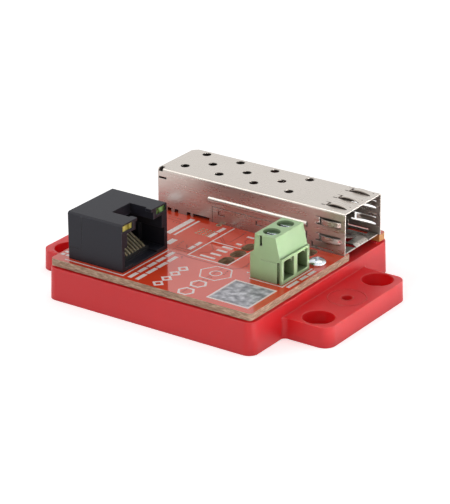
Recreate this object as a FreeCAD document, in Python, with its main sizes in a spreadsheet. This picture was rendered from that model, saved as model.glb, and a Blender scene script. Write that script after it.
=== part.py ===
import FreeCAD, Part
import math
import os
import re
import Sketcher

# Fibre media converter: an open board on a moulded tray with two screw ears.
# Millimetres and degrees. The origin is the middle of the underside, +X points
# from the jack end to the mouth of the module cage, +Y to the cage side, +Z up.

# Driving sizes
SIZES = {
    # Circuit board
    "board_length": 51.2,
    "board_width": 52.0,
    "board_thickness": 1.6,
    "board_corner": 0.8,
    "notch_width": 12.3,
    "notch_inner_width": 9.5,
    "notch_depth": 7.5,
    "notch_step": 2.4,
    "notch_shift": 0.7,
    "solder_tail": 1.0,
    "hole_clearance": 0.15,
    # Moulded tray
    "rim_margin": 0.5,
    "tray_height": 7.3,
    "tray_wall": 2.0,
    "tray_floor": 2.0,
    "tray_corner": 2.2,
    "tray_draft": 2.0,
    "shelf_length": 8.6,
    "shelf_side": 0.6,
    "board_lift": 0.3,
    "post_side": 2.6,
    "boss_radius": 2.3,
    # Screw ears
    "ear_reach": 11.2,
    "ear_length": 31.2,
    "ear_height": 4.6,
    "ear_corner": 2.6,
    "ear_shift": 0.4,
    "ear_neck_round": 1.0,
    "recess_radius": 3.45,
    "recess_depth": 3.0,
    "ear_hole_radius": 2.1,
    "ear_hole_pitch": 23.0,
    "ear_hole_out": 6.1,
    "pilot_radius": 1.2,
    "pilot_back": 0.35,
    # Board screws
    "screw_x": 22.8,
    "screw_y": 2.9,
    "screw_radius": 1.05,
    "screw_length": 5.0,
    "screw_head_radius": 1.95,
    "screw_head_height": 1.3,
    "screw_bevel": 0.55,
    "screw_fit": 0.05,
    "screw_cross": 0.55,
    "screw_cross_depth": 0.7,
    # Module cage
    "cage_length": 48.7,
    "cage_width": 14.5,
    "cage_height": 9.65,
    "cage_side": 9.45,
    "cage_sheet": 0.25,
    "cage_bend": 0.5,
    "cage_foot": 0.8,
    "foot_first": 2.5,
    "foot_second": 4.4,
    "foot_third": 7.7,
    "foot_fourth": 9.4,
    "foot_gap": 1.0,
    "foot_long_gap": 4.4,
    "cage_corner_cut": 1.5,
    "corner_hole": 1.3,
    "corner_slit": 0.45,
    "corner_slit_length": 2.3,
    "vent_radius": 1.0,
    "vent_pitch": 4.56,
    "vent_first": 16.95,
    "vent_row": 4.15,
    "vent_shift": 1.1,
    "finger_length": 4.9,
    "finger_inset": 1.1,
    "finger_height": 1.15,
    "finger_bow": 0.6,
    "finger_gap": 0.36,
    "finger_free_gap": 0.5,
    "finger_relief": 0.9,
    "relief_slit": 0.15,
    "finger_top_pitch": 4.7,
    "finger_top_width": 1.3,
    "finger_top_shift": 0.5,
    "finger_low": 2.45,
    "finger_side_pitch": 3.75,
    "bead_start": 9.6,
    "bead_length": 25.5,
    "bead_height": 5.2,
    "bead_radius": 0.68,
    "bead_proud": 0.4,
    # Flap windows of the cage
    "flap_front": 9.5,
    "flap_length": 24.7,
    "flap_height": 3.7,
    "flap_step": 1.5,
    "flap_step_height": 1.75,
    "flap_toe": 5.1,
    "flap_toe_height": 0.77,
    "flap_seam": 0.12,
    "flap_near_gap": 0.4,
    "flap_far_gap": 0.16,
    "flap_toe_gap": 0.28,
    "lance_width": 1.8,
    "lance_height": 1.0,
    "lance_low": 1.95,
    "lance_first": 31.7,
    "lance_pitch": 9.85,
    # Latch tongue of the cage floor
    "tongue_width": 4.8,
    "tongue_shift": 0.4,
    "tongue_length": 7.6,
    "tongue_slot": 0.9,
    "tongue_tip_slot": 0.3,
    "tongue_tip": 0.85,
    "tongue_rise": 0.5,
    "catch_length": 2.0,
    "catch_width": 3.7,
    "catch_point": 0.5,
    "catch_front": 2.6,
    "floor_inset": 0.4,
    "floor_lip": 2.1,
    "floor_window": 5.2,
    "floor_rail": 2.6,
    "floor_side": 0.3,
    # Host connector in the cage
    "host_back": 3.4,
    "host_length": 8.6,
    "host_width": 12.4,
    "host_height": 5.6,
    "host_slot_width": 9.2,
    "host_slot_height": 1.3,
    "host_slot_depth": 6.5,
    "host_slot_middle": 3.9,
    "host_pitch": 0.8,
    "host_contact_width": 0.4,
    "host_contact_sheet": 0.2,
    # Network jack
    "jack_inset": 3.4,
    "jack_length": 14.1,
    "jack_width": 15.9,
    "jack_height": 10.7,
    "jack_side": 10.0,
    "jack_edge": 0.35,
    "jack_wall": 1.8,
    "jack_plug_low": 1.3,
    "jack_plug_high": 8.3,
    "jack_plug_depth": 11.6,
    "jack_foot_low": 0.85,
    "jack_foot_high": 5.3,
    "jack_foot_wall": 0.9,
    "jack_latch_width": 6.3,
    "jack_latch_depth": 6.15,
    "jack_sill_width": 8.4,
    "jack_sill_length": 2.2,
    "jack_sill_height": 0.4,
    "jack_lip": 0.6,
    "jack_lip_length": 1.6,
    "jack_seam": 0.1,
    "jack_seam_back": 3.5,
    "jack_seam_low": 2.7,
    "jack_peg_radius": 1.5,
    "jack_peg_pitch": 11.4,
    "jack_peg_back": 7.2,
    # Jack contacts
    "pin_pitch": 1.02,
    "pin_width": 0.46,
    "pin_sheet": 0.3,
    "pin_tip_inset": 3.0,
    "pin_spring_run": 5.6,
    "pin_spring_rise": 3.1,
    "pin_tail_back": 3.0,
    "pin_tail_step": 2.0,
    "pin_bend": 0.6,
    "carrier_width": 9.4,
    "carrier_back": 1.2,
    "carrier_front": 2.4,
    "carrier_height": 1.3,
    # Jack lamps
    "lamp_width": 3.4,
    "lamp_height": 1.35,
    "lamp_length": 4.0,
    "lamp_inset": 0.35,
    "lamp_drop": 0.4,
    "lamp_set_back": 0.25,
    "lead_side": 0.5,
    "lead_pitch": 2.0,
    "lead_back": 1.6,
    # Terminal block
    "terminal_setback": 2.65,
    "terminal_gap": 1.35,
    "terminal_depth": 7.85,
    "terminal_width": 10.4,
    "terminal_height": 10.2,
    "terminal_shoulder": 5.7,
    "terminal_heel": 0.95,
    "terminal_top_back": 1.2,
    "terminal_brow": 1.6,
    "terminal_lip": 0.5,
    "terminal_pole": 5.08,
    "terminal_well": 1.85,
    "terminal_axis": 4.25,
    "terminal_floor": 0.6,
    "entry_width": 3.8,
    "entry_low": 0.8,
    "entry_high": 4.7,
    "entry_arch": 1.0,
    "entry_frame_high": 5.2,
    "entry_frame_depth": 0.5,
    "side_slot": 0.7,
    "side_slot_depth": 0.5,
    "side_slot_height": 4.9,
    "side_slot_inset": 0.5,
    "side_ledge": 0.4,
    "side_ledge_length": 3.9,
    "side_ledge_depth": 0.08,
    "key_slot": 0.6,
    "key_slot_height": 2.3,
    # Wire clamps
    "clamp_width": 3.9,
    "clamp_depth": 3.4,
    "clamp_height": 5.3,
    "clamp_wall": 0.5,
    "clamp_sole": 0.7,
    "clamp_head": 1.3,
    "clamp_clearance": 0.12,
    "clamp_travel": 2.0,
    "clamp_screw_radius": 1.2,
    "clamp_screw_fit": 0.06,
    "clamp_screw_head": 1.65,
    "clamp_screw_head_height": 1.3,
    "clamp_screw_slot": 0.6,
    "clamp_screw_slot_depth": 0.7,
    "bar_thickness": 0.7,
    "bar_width": 2.6,
    "bar_leg": 1.0,
    # Status lamps under the board
    "status_back": 9.0,
    "status_shift": 0.8,
    "status_pitch": 4.3,
    "status_hole": 1.4,
    "status_last_back": 4.5,
    "status_last_gap": 2.0,
    "status_length": 3.4,
    "status_width": 2.4,
    "status_height": 1.1,
    # Parts under the board
    "parts_gap": 1.6,
    "magnetics_gap": 3.1,
    "chip_gap": 6.6,
    "magnetics_length": 12.7,
    "magnetics_width": 7.0,
    "magnetics_height": 4.6,
    "magnetics_pitch": 1.27,
    "chip_side": 8.0,
    "chip_height": 0.9,
    "crystal_length": 3.2,
    "crystal_width": 2.5,
    "crystal_height": 0.8,
    "inductor_side": 7.0,
    "inductor_height": 3.6,
    "inductor_corner": 1.2,
    "regulator_length": 4.9,
    "regulator_width": 3.9,
    "regulator_height": 1.5,
    "bridge_length": 5.0,
    "bridge_width": 4.2,
    "bridge_pitch": 2.5,
    "bridge_height": 2.4,
    "capacitor_length": 3.2,
    "capacitor_width": 2.5,
    "capacitor_height": 1.8,
    "capacitor_pitch": 4.0,
    "chip_lead": 0.4,
    "chip_lead_out": 0.9,
    "chip_lead_sheet": 0.2,
    "chip_standoff": 0.1,
    "chip_bevel": 0.25,
}

# Places worked out from the sizes
PLACES = {
    "half_length": "board_length / 2",
    "half_width": "board_width / 2",
    "board_bottom": "tray_height + board_lift",
    "board_top": "board_bottom + board_thickness",
    "rim_x": "half_length + rim_margin",
    "rim_y": "half_width + rim_margin",
    "flare": "tray_height * tan(tray_draft)",
    "ear_end": "rim_x + ear_reach",
    "ear_hole_x": "rim_x + ear_hole_out",
    "pilot_x": "ear_hole_x - pilot_back",
    "ear_top_hole": "ear_shift + ear_hole_pitch / 2",
    "ear_low_hole": "ear_shift - ear_hole_pitch / 2",
    "cage_mouth": "half_length",
    "cage_back": "half_length - cage_length",
    "cage_y": "half_width - cage_side",
    "cage_near": "cage_y - cage_width / 2",
    "cage_far": "cage_y + cage_width / 2",
    "cage_top": "board_top + cage_height",
    "cage_roof": "cage_top - cage_sheet",
    "finger_back": "cage_mouth - finger_inset - finger_length",
    "finger_middle": "finger_back + finger_length / 2",
    "flap_back": "cage_mouth - flap_front - flap_length",
    "flap_end": "cage_mouth - flap_front",
    "flap_step_end": "flap_end + flap_step",
    "flap_toe_end": "flap_step_end + flap_toe",
    "host_x": "cage_back + host_back",
    "host_front": "host_x + host_length",
    "host_mid": "board_top + host_slot_middle",
    "jack_back": "jack_inset - half_length",
    "jack_mouth": "jack_back + jack_length",
    "jack_y": "jack_side - half_width",
    "jack_near": "jack_y - jack_width / 2",
    "jack_far": "jack_y + jack_width / 2",
    "jack_top": "board_top + jack_height",
    "lamp_y": "jack_width / 2 - lamp_inset - lamp_width / 2",
    "lamp_z": "jack_top - lamp_drop - lamp_height",
    "tail_x": "jack_back + pin_tail_back",
    "tip_x": "jack_mouth - pin_tip_inset",
    "carrier_top": "board_top + carrier_height",
    "terminal_face": "half_length - terminal_setback",
    "terminal_back": "terminal_face - terminal_depth",
    "terminal_y": "screw_y - screw_head_radius - terminal_gap - terminal_width / 2",
    "terminal_near": "terminal_y - terminal_width / 2",
    "terminal_far": "terminal_y + terminal_width / 2",
    "terminal_top": "board_top + terminal_height",
    "terminal_x": "terminal_face - terminal_axis",
    "leg_x": "terminal_x - clamp_depth / 2 - clamp_clearance - bar_thickness / 2",
    "chamber_floor": "board_top + terminal_floor",
    "clamp_bottom": "chamber_floor + clamp_clearance",
    "clamp_top": "clamp_bottom + clamp_height",
    "chamber_top": "clamp_top + clamp_travel + clamp_clearance",
    "window_low": "clamp_bottom + clamp_sole",
    "window_high": "clamp_top - clamp_head",
    "bar_top": "window_high - clamp_clearance",
    "bar_bottom": "bar_top - bar_thickness",
    "head_bottom": "chamber_top + clamp_clearance",
    "head_top": "head_bottom + clamp_screw_head_height",
    "tail_end": "board_bottom - solder_tail",
    "status_x": "terminal_back - status_back",
    "status_first": "terminal_y - status_shift",
    "status_last_x": "screw_x - status_last_back",
    "status_last_y": "cage_near - status_last_gap",
    "magnetics_x": "jack_mouth + magnetics_gap",
    "coil_x": "magnetics_x + magnetics_length / 2 + parts_gap + inductor_side / 2",
    "regulator_x": "coil_x + inductor_side / 2 + parts_gap + regulator_length / 2",
    "bridge_x": "terminal_back - parts_gap - bridge_length / 2",
    "chip_x": "status_x - status_length / 2 - chip_gap - chip_side / 2",
    "chip_y": "status_first + 2 * status_pitch",
    "crystal_x": "chip_x - chip_side / 2 - parts_gap - crystal_length / 2",
    "capacitor_x": "status_x - 3 * capacitor_pitch / 2",
    "capacitor_y": "status_first + 2 * status_pitch + status_width / 2 + parts_gap + capacitor_length / 2",
}

HOST_ROW = 10
JACK_WIRES = 8

doc = FreeCAD.newDocument("MediaConverter")
PLANES = {"XY": "XY_Plane", "XZ": "XZ_Plane", "YZ": "YZ_Plane"}


def bound(text):
    """The same expression, with each size or place name led by its sheet."""
    def lead(match):
        word = match.group(0)
        if word in SIZES:
            return "Sizes." + word
        if word in PLACES:
            return "Places." + word
        return word
    return re.sub(r"[a-z_]+", lead, str(text))


def fill_sheet(name, cells, formula):
    sheet = doc.addObject("Spreadsheet::Sheet", name)
    for row, (alias, content) in enumerate(cells.items(), start=1):
        sheet.set("A%d" % row, alias)
        text = "=" + bound(content) if formula else str(content)
        sheet.set("B%d" % row, text)
        sheet.setAlias("B%d" % row, alias)
        if formula:
            sheet.recompute()
    sheet.recompute()
    return sheet


sizes = fill_sheet("Sizes", SIZES, False)
places = fill_sheet("Places", PLACES, True)
bench = doc.addObject("Spreadsheet::Sheet", "Bench")


def number(text):
    """The present value of an expression of sizes and places."""
    bench.set("A1", "=" + bound(text))
    bench.recompute()
    return float(bench.get("A1"))


def bind(thing, where, text):
    """Tie a property to an expression, or set it where the text is plain."""
    thing.setExpression(where, bound(text))


def new_body(label):
    body = doc.addObject("PartDesign::Body", label)
    body.Label = label
    return body


def new_sketch(body, plane, height):
    """A sketch on one of the body's own planes, moved along its normal."""
    sketch = body.newObject("Sketcher::SketchObject", "outline")
    support = [item for item in body.Origin.OriginFeatures if item.Role == PLANES[plane]]
    sketch.AttachmentSupport = [(support[0], "")]
    sketch.MapMode = "FlatFace"
    sign = "-" if plane == "XZ" else ""
    bind(sketch, "AttachmentOffset.Base.z", sign + "(" + str(height) + ")")
    return sketch


def hold(sketch, kind, element, point, text):
    """Hold one coordinate or radius of a sketch element to an expression."""
    value = number(text)
    if kind == "Radius":
        index = sketch.addConstraint(Sketcher.Constraint(kind, element, value))
    else:
        index = sketch.addConstraint(Sketcher.Constraint(kind, -1, 1, element, point, value))
    name = "%s%d" % (kind, index)
    sketch.renameConstraint(index, name)
    bind(sketch, "Constraints." + name, text)


def polygon(sketch, corners):
    """A closed outline through corners given as pairs of expressions."""
    first = sketch.GeometryCount
    spots = [FreeCAD.Vector(number(x), number(y), 0) for x, y in corners]
    count = len(corners)
    for here in range(count):
        sketch.addGeometry(Part.LineSegment(spots[here], spots[(here + 1) % count]), False)
    for here in range(count):
        after = first + (here + 1) % count
        sketch.addConstraint(Sketcher.Constraint("Coincident", first + here, 2, after, 1))
    for here, (x, y) in enumerate(corners):
        hold(sketch, "DistanceX", first + here, 1, x)
        hold(sketch, "DistanceY", first + here, 1, y)


def rectangle(sketch, left, low, right, high):
    polygon(sketch, [(left, low), (right, low), (right, high), (left, high)])


def oblong(sketch, x, y, width, depth):
    """A rectangle given by its middle and its two sides."""
    rectangle(
        sketch,
        "%s - (%s) / 2" % (x, width),
        "%s - (%s) / 2" % (y, depth),
        "%s + (%s) / 2" % (x, width),
        "%s + (%s) / 2" % (y, depth),
    )


def circle(sketch, x, y, radius):
    middle = FreeCAD.Vector(number(x), number(y), 0)
    normal = FreeCAD.Vector(0, 0, 1)
    index = sketch.addGeometry(Part.Circle(middle, normal, number(radius)), False)
    hold(sketch, "Radius", index, 3, radius)
    hold(sketch, "DistanceX", index, 3, x)
    hold(sketch, "DistanceY", index, 3, y)


def volume(body):
    doc.recompute()
    return body.Shape.Volume if body.Tip else 0.0


def pad(body, sketch, length):
    """Add material along the sketch's normal."""
    feature = body.newObject("PartDesign::Pad", "pad")
    feature.Profile = sketch
    bind(feature, "Length", length)
    doc.recompute()
    return feature


def draft(body, angle):
    """Lean the upright faces inward from the body's own ground plane."""
    base = body.Tip
    ground = [item for item in body.Origin.OriginFeatures if item.Role == "XY_Plane"]
    names = [
        "Face%d" % (k + 1)
        for k, face in enumerate(base.Shape.Faces)
        if abs(face.normalAt(0, 0).z) < 0.1
    ]
    feature = body.newObject("PartDesign::Draft", "draft")
    feature.Base = (base, names)
    feature.NeutralPlane = (ground[0], [""])
    bind(feature, "Angle", angle)
    doc.recompute()
    return feature


def pocket(body, sketch, length):
    """Take material away against the sketch's normal."""
    before = volume(body)
    feature = body.newObject("PartDesign::Pocket", "pocket")
    feature.Profile = sketch
    bind(feature, "Length", length)
    if volume(body) >= before:
        raise RuntimeError("A pocket of %s cut nothing" % body.Label)
    return feature


def dress(body, kind, size, pick):
    """Fillet or chamfer the edges of the body that the test picks."""
    doc.recompute()
    base = body.Tip
    names = ["Edge%d" % (k + 1) for k, edge in enumerate(base.Shape.Edges) if pick(edge)]
    if not names:
        raise RuntimeError("No edge picked on %s" % body.Label)
    feature = body.newObject("PartDesign::" + kind, "edge_dress")
    feature.Base = (base, names)
    bind(feature, "Radius" if kind == "Fillet" else "Size", size)
    doc.recompute()
    return feature


def direction(edge):
    """Unit vector between the ends of an edge, or zero for a closed one."""
    ends = [vertex.Point for vertex in edge.Vertexes]
    if len(ends) < 2:
        return FreeCAD.Vector(0, 0, 0)
    return (ends[-1] - ends[0]).normalize()


def runs_along(edge, axis):
    """True for a straight edge that runs along the axis, draft allowed."""
    straight = isinstance(edge.Curve, Part.Line)
    return straight and abs(getattr(direction(edge), axis)) > 0.99


def near(value, goal):
    return abs(value - goal) < 0.02


def slab(label, x, y, z, length, width, height):
    """A plain block given by its middle in plan and its underside."""
    block = doc.addObject("Part::Box", label)
    bind(block, "Length", length)
    bind(block, "Width", width)
    bind(block, "Height", height)
    bind(block, "Placement.Base.x", "%s - (%s) / 2" % (x, length))
    bind(block, "Placement.Base.y", "%s - (%s) / 2" % (y, width))
    bind(block, "Placement.Base.z", z)
    return block


def group(label, members):
    """Separate solids of one kind kept under one name."""
    compound = doc.addObject("Part::Compound", label)
    compound.Label = label
    compound.Links = members
    return compound


def fused(label, members):
    fuse = doc.addObject("Part::MultiFuse", label)
    fuse.Label = label
    fuse.Shapes = members
    return fuse


# Moulded tray
def base_tray():
    body = new_body("base_tray")
    outline = new_sketch(body, "XY", "0")
    oblong(outline, "0", "0", "2 * (rim_x + flare)", "2 * (rim_y + flare)")
    pad(body, outline, "tray_height")
    ears = new_sketch(body, "XY", "0")
    oblong(ears, "0", "ear_shift", "2 * ear_end", "ear_length")
    pad(body, ears, "ear_height")
    end = number("ear_end")
    wall = number("rim_x + flare")
    reach = number("ear_length") / 2 + 0.1
    middle = number("ear_shift")

    def upright(edge, x, low, high):
        away = abs(edge.CenterOfMass.y - middle)
        return runs_along(edge, "z") and near(abs(edge.CenterOfMass.x), x) and low < away < high

    dress(body, "Fillet", "tray_corner", lambda edge: upright(edge, wall, reach, 2 * end))
    dress(body, "Fillet", "ear_corner", lambda edge: upright(edge, end, 0, reach))
    dress(body, "Fillet", "ear_neck_round", lambda edge: upright(edge, wall, 0, reach))
    draft(body, "tray_draft")
    tray_cavity(body)
    tray_ear_holes(body)
    return body


def tray_cavity(body):
    """Hollow the tray, then stand the corner posts, the screw bosses and the shelf under the cage's mouth in it."""
    hollow = new_sketch(body, "XY", "tray_height")
    oblong(hollow, "0", "0", "2 * (rim_x - tray_wall)", "2 * (rim_y - tray_wall)")
    pocket(body, hollow, "tray_height - tray_floor")
    posts = new_sketch(body, "XY", "tray_floor / 2")
    for side_x in ("-", "+"):
        for side_y in ("-", "+"):
            x = "0 %s (rim_x - tray_wall / 2 - post_side / 2)" % side_x
            y = "0 %s (rim_y - tray_wall / 2 - post_side / 2)" % side_y
            oblong(posts, x, y, "post_side", "post_side")
    pad(body, posts, "board_bottom - tray_floor / 2")
    shelf = new_sketch(body, "XY", "tray_floor / 2")
    rectangle(
        shelf,
        "rim_x - tray_wall / 2 - shelf_length",
        "cage_y + notch_shift - notch_width / 2 - shelf_side",
        "rim_x - tray_wall / 2",
        "rim_y - tray_wall / 2",
    )
    pad(body, shelf, "tray_height - tray_floor / 2")
    bosses = new_sketch(body, "XY", "tray_floor / 2")
    circle(bosses, "-screw_x", "screw_y", "boss_radius")
    circle(bosses, "screw_x", "screw_y", "boss_radius")
    pad(body, bosses, "board_bottom - tray_floor / 2")
    pilots = new_sketch(body, "XY", "board_bottom")
    circle(pilots, "-screw_x", "screw_y", "screw_radius + screw_fit")
    circle(pilots, "screw_x", "screw_y", "screw_radius + screw_fit")
    pocket(body, pilots, "board_bottom - tray_floor / 2")


def tray_ear_holes(body):
    """Recessed screw holes at the ends of each ear and a small one between."""
    recess = new_sketch(body, "XY", "ear_height")
    through = new_sketch(body, "XY", "ear_height")
    small = new_sketch(body, "XY", "ear_height")
    for side in ("-", ""):
        x = side + "ear_hole_x"
        for y in ("ear_low_hole", "ear_top_hole"):
            circle(recess, x, y, "recess_radius")
            circle(through, x, y, "ear_hole_radius")
        circle(small, side + "pilot_x", "ear_shift", "pilot_radius")
    pocket(body, recess, "recess_depth")
    pocket(body, through, "ear_height")
    pocket(body, small, "ear_height")


# Circuit board
def circuit_board():
    body = new_body("circuit_board")
    outline = new_sketch(body, "XY", "board_bottom")
    oblong(outline, "0", "0", "board_length", "board_width")
    pad(body, outline, "board_thickness")
    dress(body, "Fillet", "board_corner", lambda edge: runs_along(edge, "z"))
    notch = new_sketch(body, "XY", "board_top")
    middle = "cage_y + notch_shift"
    polygon(notch, [
        ("half_length - notch_depth", middle + " - notch_inner_width / 2"),
        ("half_length - notch_step", middle + " - notch_inner_width / 2"),
        ("half_length - notch_step", middle + " - notch_width / 2"),
        ("half_length + board_corner", middle + " - notch_width / 2"),
        ("half_length + board_corner", middle + " + notch_width / 2"),
        ("half_length - notch_step", middle + " + notch_width / 2"),
        ("half_length - notch_step", middle + " + notch_inner_width / 2"),
        ("half_length - notch_depth", middle + " + notch_inner_width / 2"),
    ])
    pocket(body, notch, "board_thickness")
    holes = new_sketch(body, "XY", "board_top")
    for x in ("-screw_x", "screw_x"):
        circle(holes, x, "screw_y", "screw_radius + hole_clearance")
    for step in range(3):
        circle(holes, "status_x", "status_first + %d * status_pitch" % step, "status_hole")
    circle(holes, "status_last_x", "status_last_y", "status_hole")
    for side in ("-", "+"):
        y = "terminal_y %s terminal_pole / 2" % side
        oblong(holes, "leg_x", y, "bar_thickness + 2 * hole_clearance", "bar_leg + 2 * hole_clearance")
        y = "jack_y %s jack_peg_pitch / 2" % side
        circle(holes, "jack_back + jack_peg_back", y, "jack_peg_radius + hole_clearance")
    pocket(body, holes, "board_thickness")
    pins = new_sketch(body, "XY", "board_top")
    side = "lead_side + 2 * hole_clearance"
    for x, y in jack_tail_spots() + lamp_lead_spots():
        oblong(pins, x, y, side, side)
    pocket(body, pins, "board_thickness")
    return body


# Board screws
def board_screws():
    screws = []
    for side in (-1, 1):
        x = "%d * screw_x" % side
        shank = doc.addObject("Part::Cylinder", "screw_shank")
        bind(shank, "Radius", "screw_radius")
        bind(shank, "Height", "screw_length")
        place_at(shank, x, "screw_y", "board_top - screw_length")
        screws.append(cross_head(shank, x))
    return group("board_screws", screws)


def place_at(thing, x, y, z):
    bind(thing, "Placement.Base.x", x)
    bind(thing, "Placement.Base.y", y)
    bind(thing, "Placement.Base.z", z)


def cross_head(shank, x):
    """A low domed head with a cross recess, joined to its shank."""
    head = doc.addObject("Part::Cylinder", "screw_head")
    bind(head, "Radius", "screw_head_radius")
    bind(head, "Height", "screw_head_height")
    place_at(head, x, "screw_y", "board_top")
    dome = doc.addObject("Part::Chamfer", "screw_dome")
    dome.Base = head
    doc.recompute()
    top = head.Shape.BoundBox.ZMax
    bevel = number("screw_bevel")
    picked = [k + 1 for k, edge in enumerate(head.Shape.Edges) if near(edge.BoundBox.ZMin, top)]
    dome.Edges = [(k, bevel, bevel) for k in picked]
    whole = fused("screw_whole", [shank, dome])
    depth = "board_top + screw_head_height - screw_cross_depth"
    arms = [
        slab("cross_a", x, "screw_y", depth, "screw_head_radius", "screw_cross", "screw_cross_depth"),
        slab("cross_b", x, "screw_y", depth, "screw_cross", "screw_head_radius", "screw_cross_depth"),
    ]
    cross = fused("screw_cross_recess", arms)
    cut = doc.addObject("Part::Cut", "board_screw")
    cut.Base = whole
    cut.Tool = cross
    return cut


# Module cage, upper piece
def sfp_cage_shell():
    body = new_body("sfp_cage_shell")
    block = new_sketch(body, "YZ", "cage_back")
    rectangle(block, "cage_near", "board_top", "cage_far", "cage_top")
    pad(body, block, "cage_length")
    top = number("cage_top")
    dress(body, "Fillet", "cage_bend", lambda edge: runs_along(edge, "x") and near(edge.CenterOfMass.z, top))
    cage_beads(body)
    inside = new_sketch(body, "YZ", "cage_mouth")
    rectangle(inside, "cage_near + cage_sheet", "board_top", "cage_far - cage_sheet", "cage_roof")
    pocket(body, inside, "cage_length - cage_sheet")
    cage_side_cuts(body)
    cage_roof_cuts(body)
    cage_fingers(body)
    return body


def cage_beads(body):
    """The long pressed bead on both sides, as a shallow round rib."""
    start = "cage_back + cage_length - bead_start - bead_length"
    rib = new_sketch(body, "YZ", start)
    for side, face in (("-", "cage_near"), ("+", "cage_far")):
        middle = "%s %s (bead_proud - bead_radius)" % (face, side)
        circle(rib, middle, "board_top + bead_height", "bead_radius")
    pad(body, rib, "bead_length")


def cage_side_cuts(body):
    """Foot gaps, flap windows and the spring windows, through both sides."""
    feet = new_sketch(body, "XZ", "cage_near - 1")
    gaps = (
        ("foot_first", "foot_gap"),
        ("foot_second", "foot_gap"),
        ("foot_third", "foot_gap"),
        ("foot_fourth", "foot_long_gap"),
    )
    for start, length in gaps:
        left = "cage_back + " + start
        rectangle(feet, left, "board_top", "%s + %s" % (left, length), "board_top + cage_foot")
    pocket(body, feet, "cage_width + 2")
    flap = new_sketch(body, "XZ", "cage_near - 1")
    polygon(flap, [
        ("flap_back", "board_top"),
        ("flap_toe_end", "board_top"),
        ("flap_toe_end", "board_top + flap_toe_height"),
        ("flap_step_end", "board_top + flap_toe_height"),
        ("flap_step_end", "board_top + flap_step_height"),
        ("flap_end", "board_top + flap_step_height"),
        ("flap_end", "board_top + flap_height"),
        ("flap_back", "board_top + flap_height"),
    ])
    pocket(body, flap, "cage_width + 2")
    windows = new_sketch(body, "XZ", "cage_near - 1")
    for step in range(2):
        low = "board_top + finger_low + %d * finger_side_pitch - finger_gap" % step
        high = "board_top + finger_low + %d * finger_side_pitch + finger_height + finger_gap" % step
        spring_window(windows, low, high)
    pocket(body, windows, "cage_width + 2")
    hook = new_sketch(body, "XZ", "cage_near - 1")
    high = "board_top + 0.8 * cage_height"
    rectangle(hook, "cage_back + cage_sheet", high + " - corner_slit", "cage_back + corner_slit_length", high)
    pocket(body, hook, "cage_width + 2")


def cage_roof_cuts(body):
    """Vent holes in three staggered rows, spring windows and cut corners."""
    vents = new_sketch(body, "XY", "cage_top + 1")
    for step in range(7):
        x = "cage_mouth - vent_first - %d * vent_pitch" % step
        rows = ("-", "+") if step % 2 == 0 else ("",)
        for row in rows:
            y = "cage_y + vent_shift"
            if row:
                y = "%s %s vent_row" % (y, row)
            circle(vents, x, y, "vent_radius")
    pocket(body, vents, "1 + 2 * cage_sheet")
    slots = new_sketch(body, "XY", "cage_top + 1")
    for step in (-1, 0, 1):
        y = finger_roof_y(step)
        high = "%s + finger_top_width / 2 + finger_gap" % y
        low = "%s - finger_top_width / 2 - finger_gap" % y
        spring_window(slots, low, high)
    pocket(body, slots, "1 + 2 * cage_sheet")
    corner = new_sketch(body, "XY", "cage_top + 1")
    polygon(corner, [
        ("cage_back - 1", "cage_far - cage_corner_cut"),
        ("cage_back", "cage_far - cage_corner_cut"),
        ("cage_back + cage_corner_cut", "cage_far"),
        ("cage_back + cage_corner_cut", "cage_far + 1"),
        ("cage_back - 1", "cage_far + 1"),
    ])
    rectangle(corner, "cage_back + cage_sheet", "cage_near - 1", "cage_back + corner_hole", "cage_near + corner_hole")
    pocket(body, corner, "1 + cage_bend + cage_sheet")


def spring_window(sketch, low, high):
    """The cut round a spring finger: its two side slits run on past the gap at the free end."""
    back = "finger_back - finger_free_gap"
    polygon(sketch, [
        (back + " - finger_relief", low),
        ("finger_back + finger_length", low),
        ("finger_back + finger_length", high),
        (back + " - finger_relief", high),
        (back + " - finger_relief", high + " - relief_slit"),
        (back, high + " - relief_slit"),
        (back, low + " + finger_gap"),
        (back + " - finger_relief", low + " + finger_gap"),
    ])


def finger_roof_y(step):
    return "cage_y + finger_top_shift + %d * finger_top_pitch" % step


def cage_fingers(body):
    """Bowed contact springs at the mouth, three on top and two on each side."""
    for step in (-1, 0, 1):
        y = finger_roof_y(step)
        arch = new_sketch(body, "XZ", "%s + finger_top_width / 2" % y)
        bowed_strip(arch, "finger_back", "cage_top", "1")
        pad(body, arch, "finger_top_width")
    for step in range(2):
        low = "board_top + finger_low + %d * finger_side_pitch" % step
        bow = new_sketch(body, "XY", low)
        bowed_strip(bow, "finger_back", "cage_far", "1")
        pad(body, bow, "finger_height")
        bow = new_sketch(body, "XY", low)
        bowed_strip(bow, "finger_back", "cage_near", "-1")
        pad(body, bow, "finger_height")


def bowed_strip(sketch, start, face, side):
    """A thin strip that rises steeply from its free end and sinks to the mouth."""
    count = 7
    outer = []
    inner = []
    for step in range(count + 1):
        part = step / count
        rise = math.sin(math.pi * part ** 0.8) ** 0.6
        along = "%s + (%.4f) * (finger_length + 0.05)" % (start, part)
        height = "%s + (%s) * %.4f * finger_bow" % (face, side, rise)
        outer.append((along, height))
        inner.append((along, height + " - (%s) * cage_sheet" % side))
    polygon(sketch, outer + inner[::-1])


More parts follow.
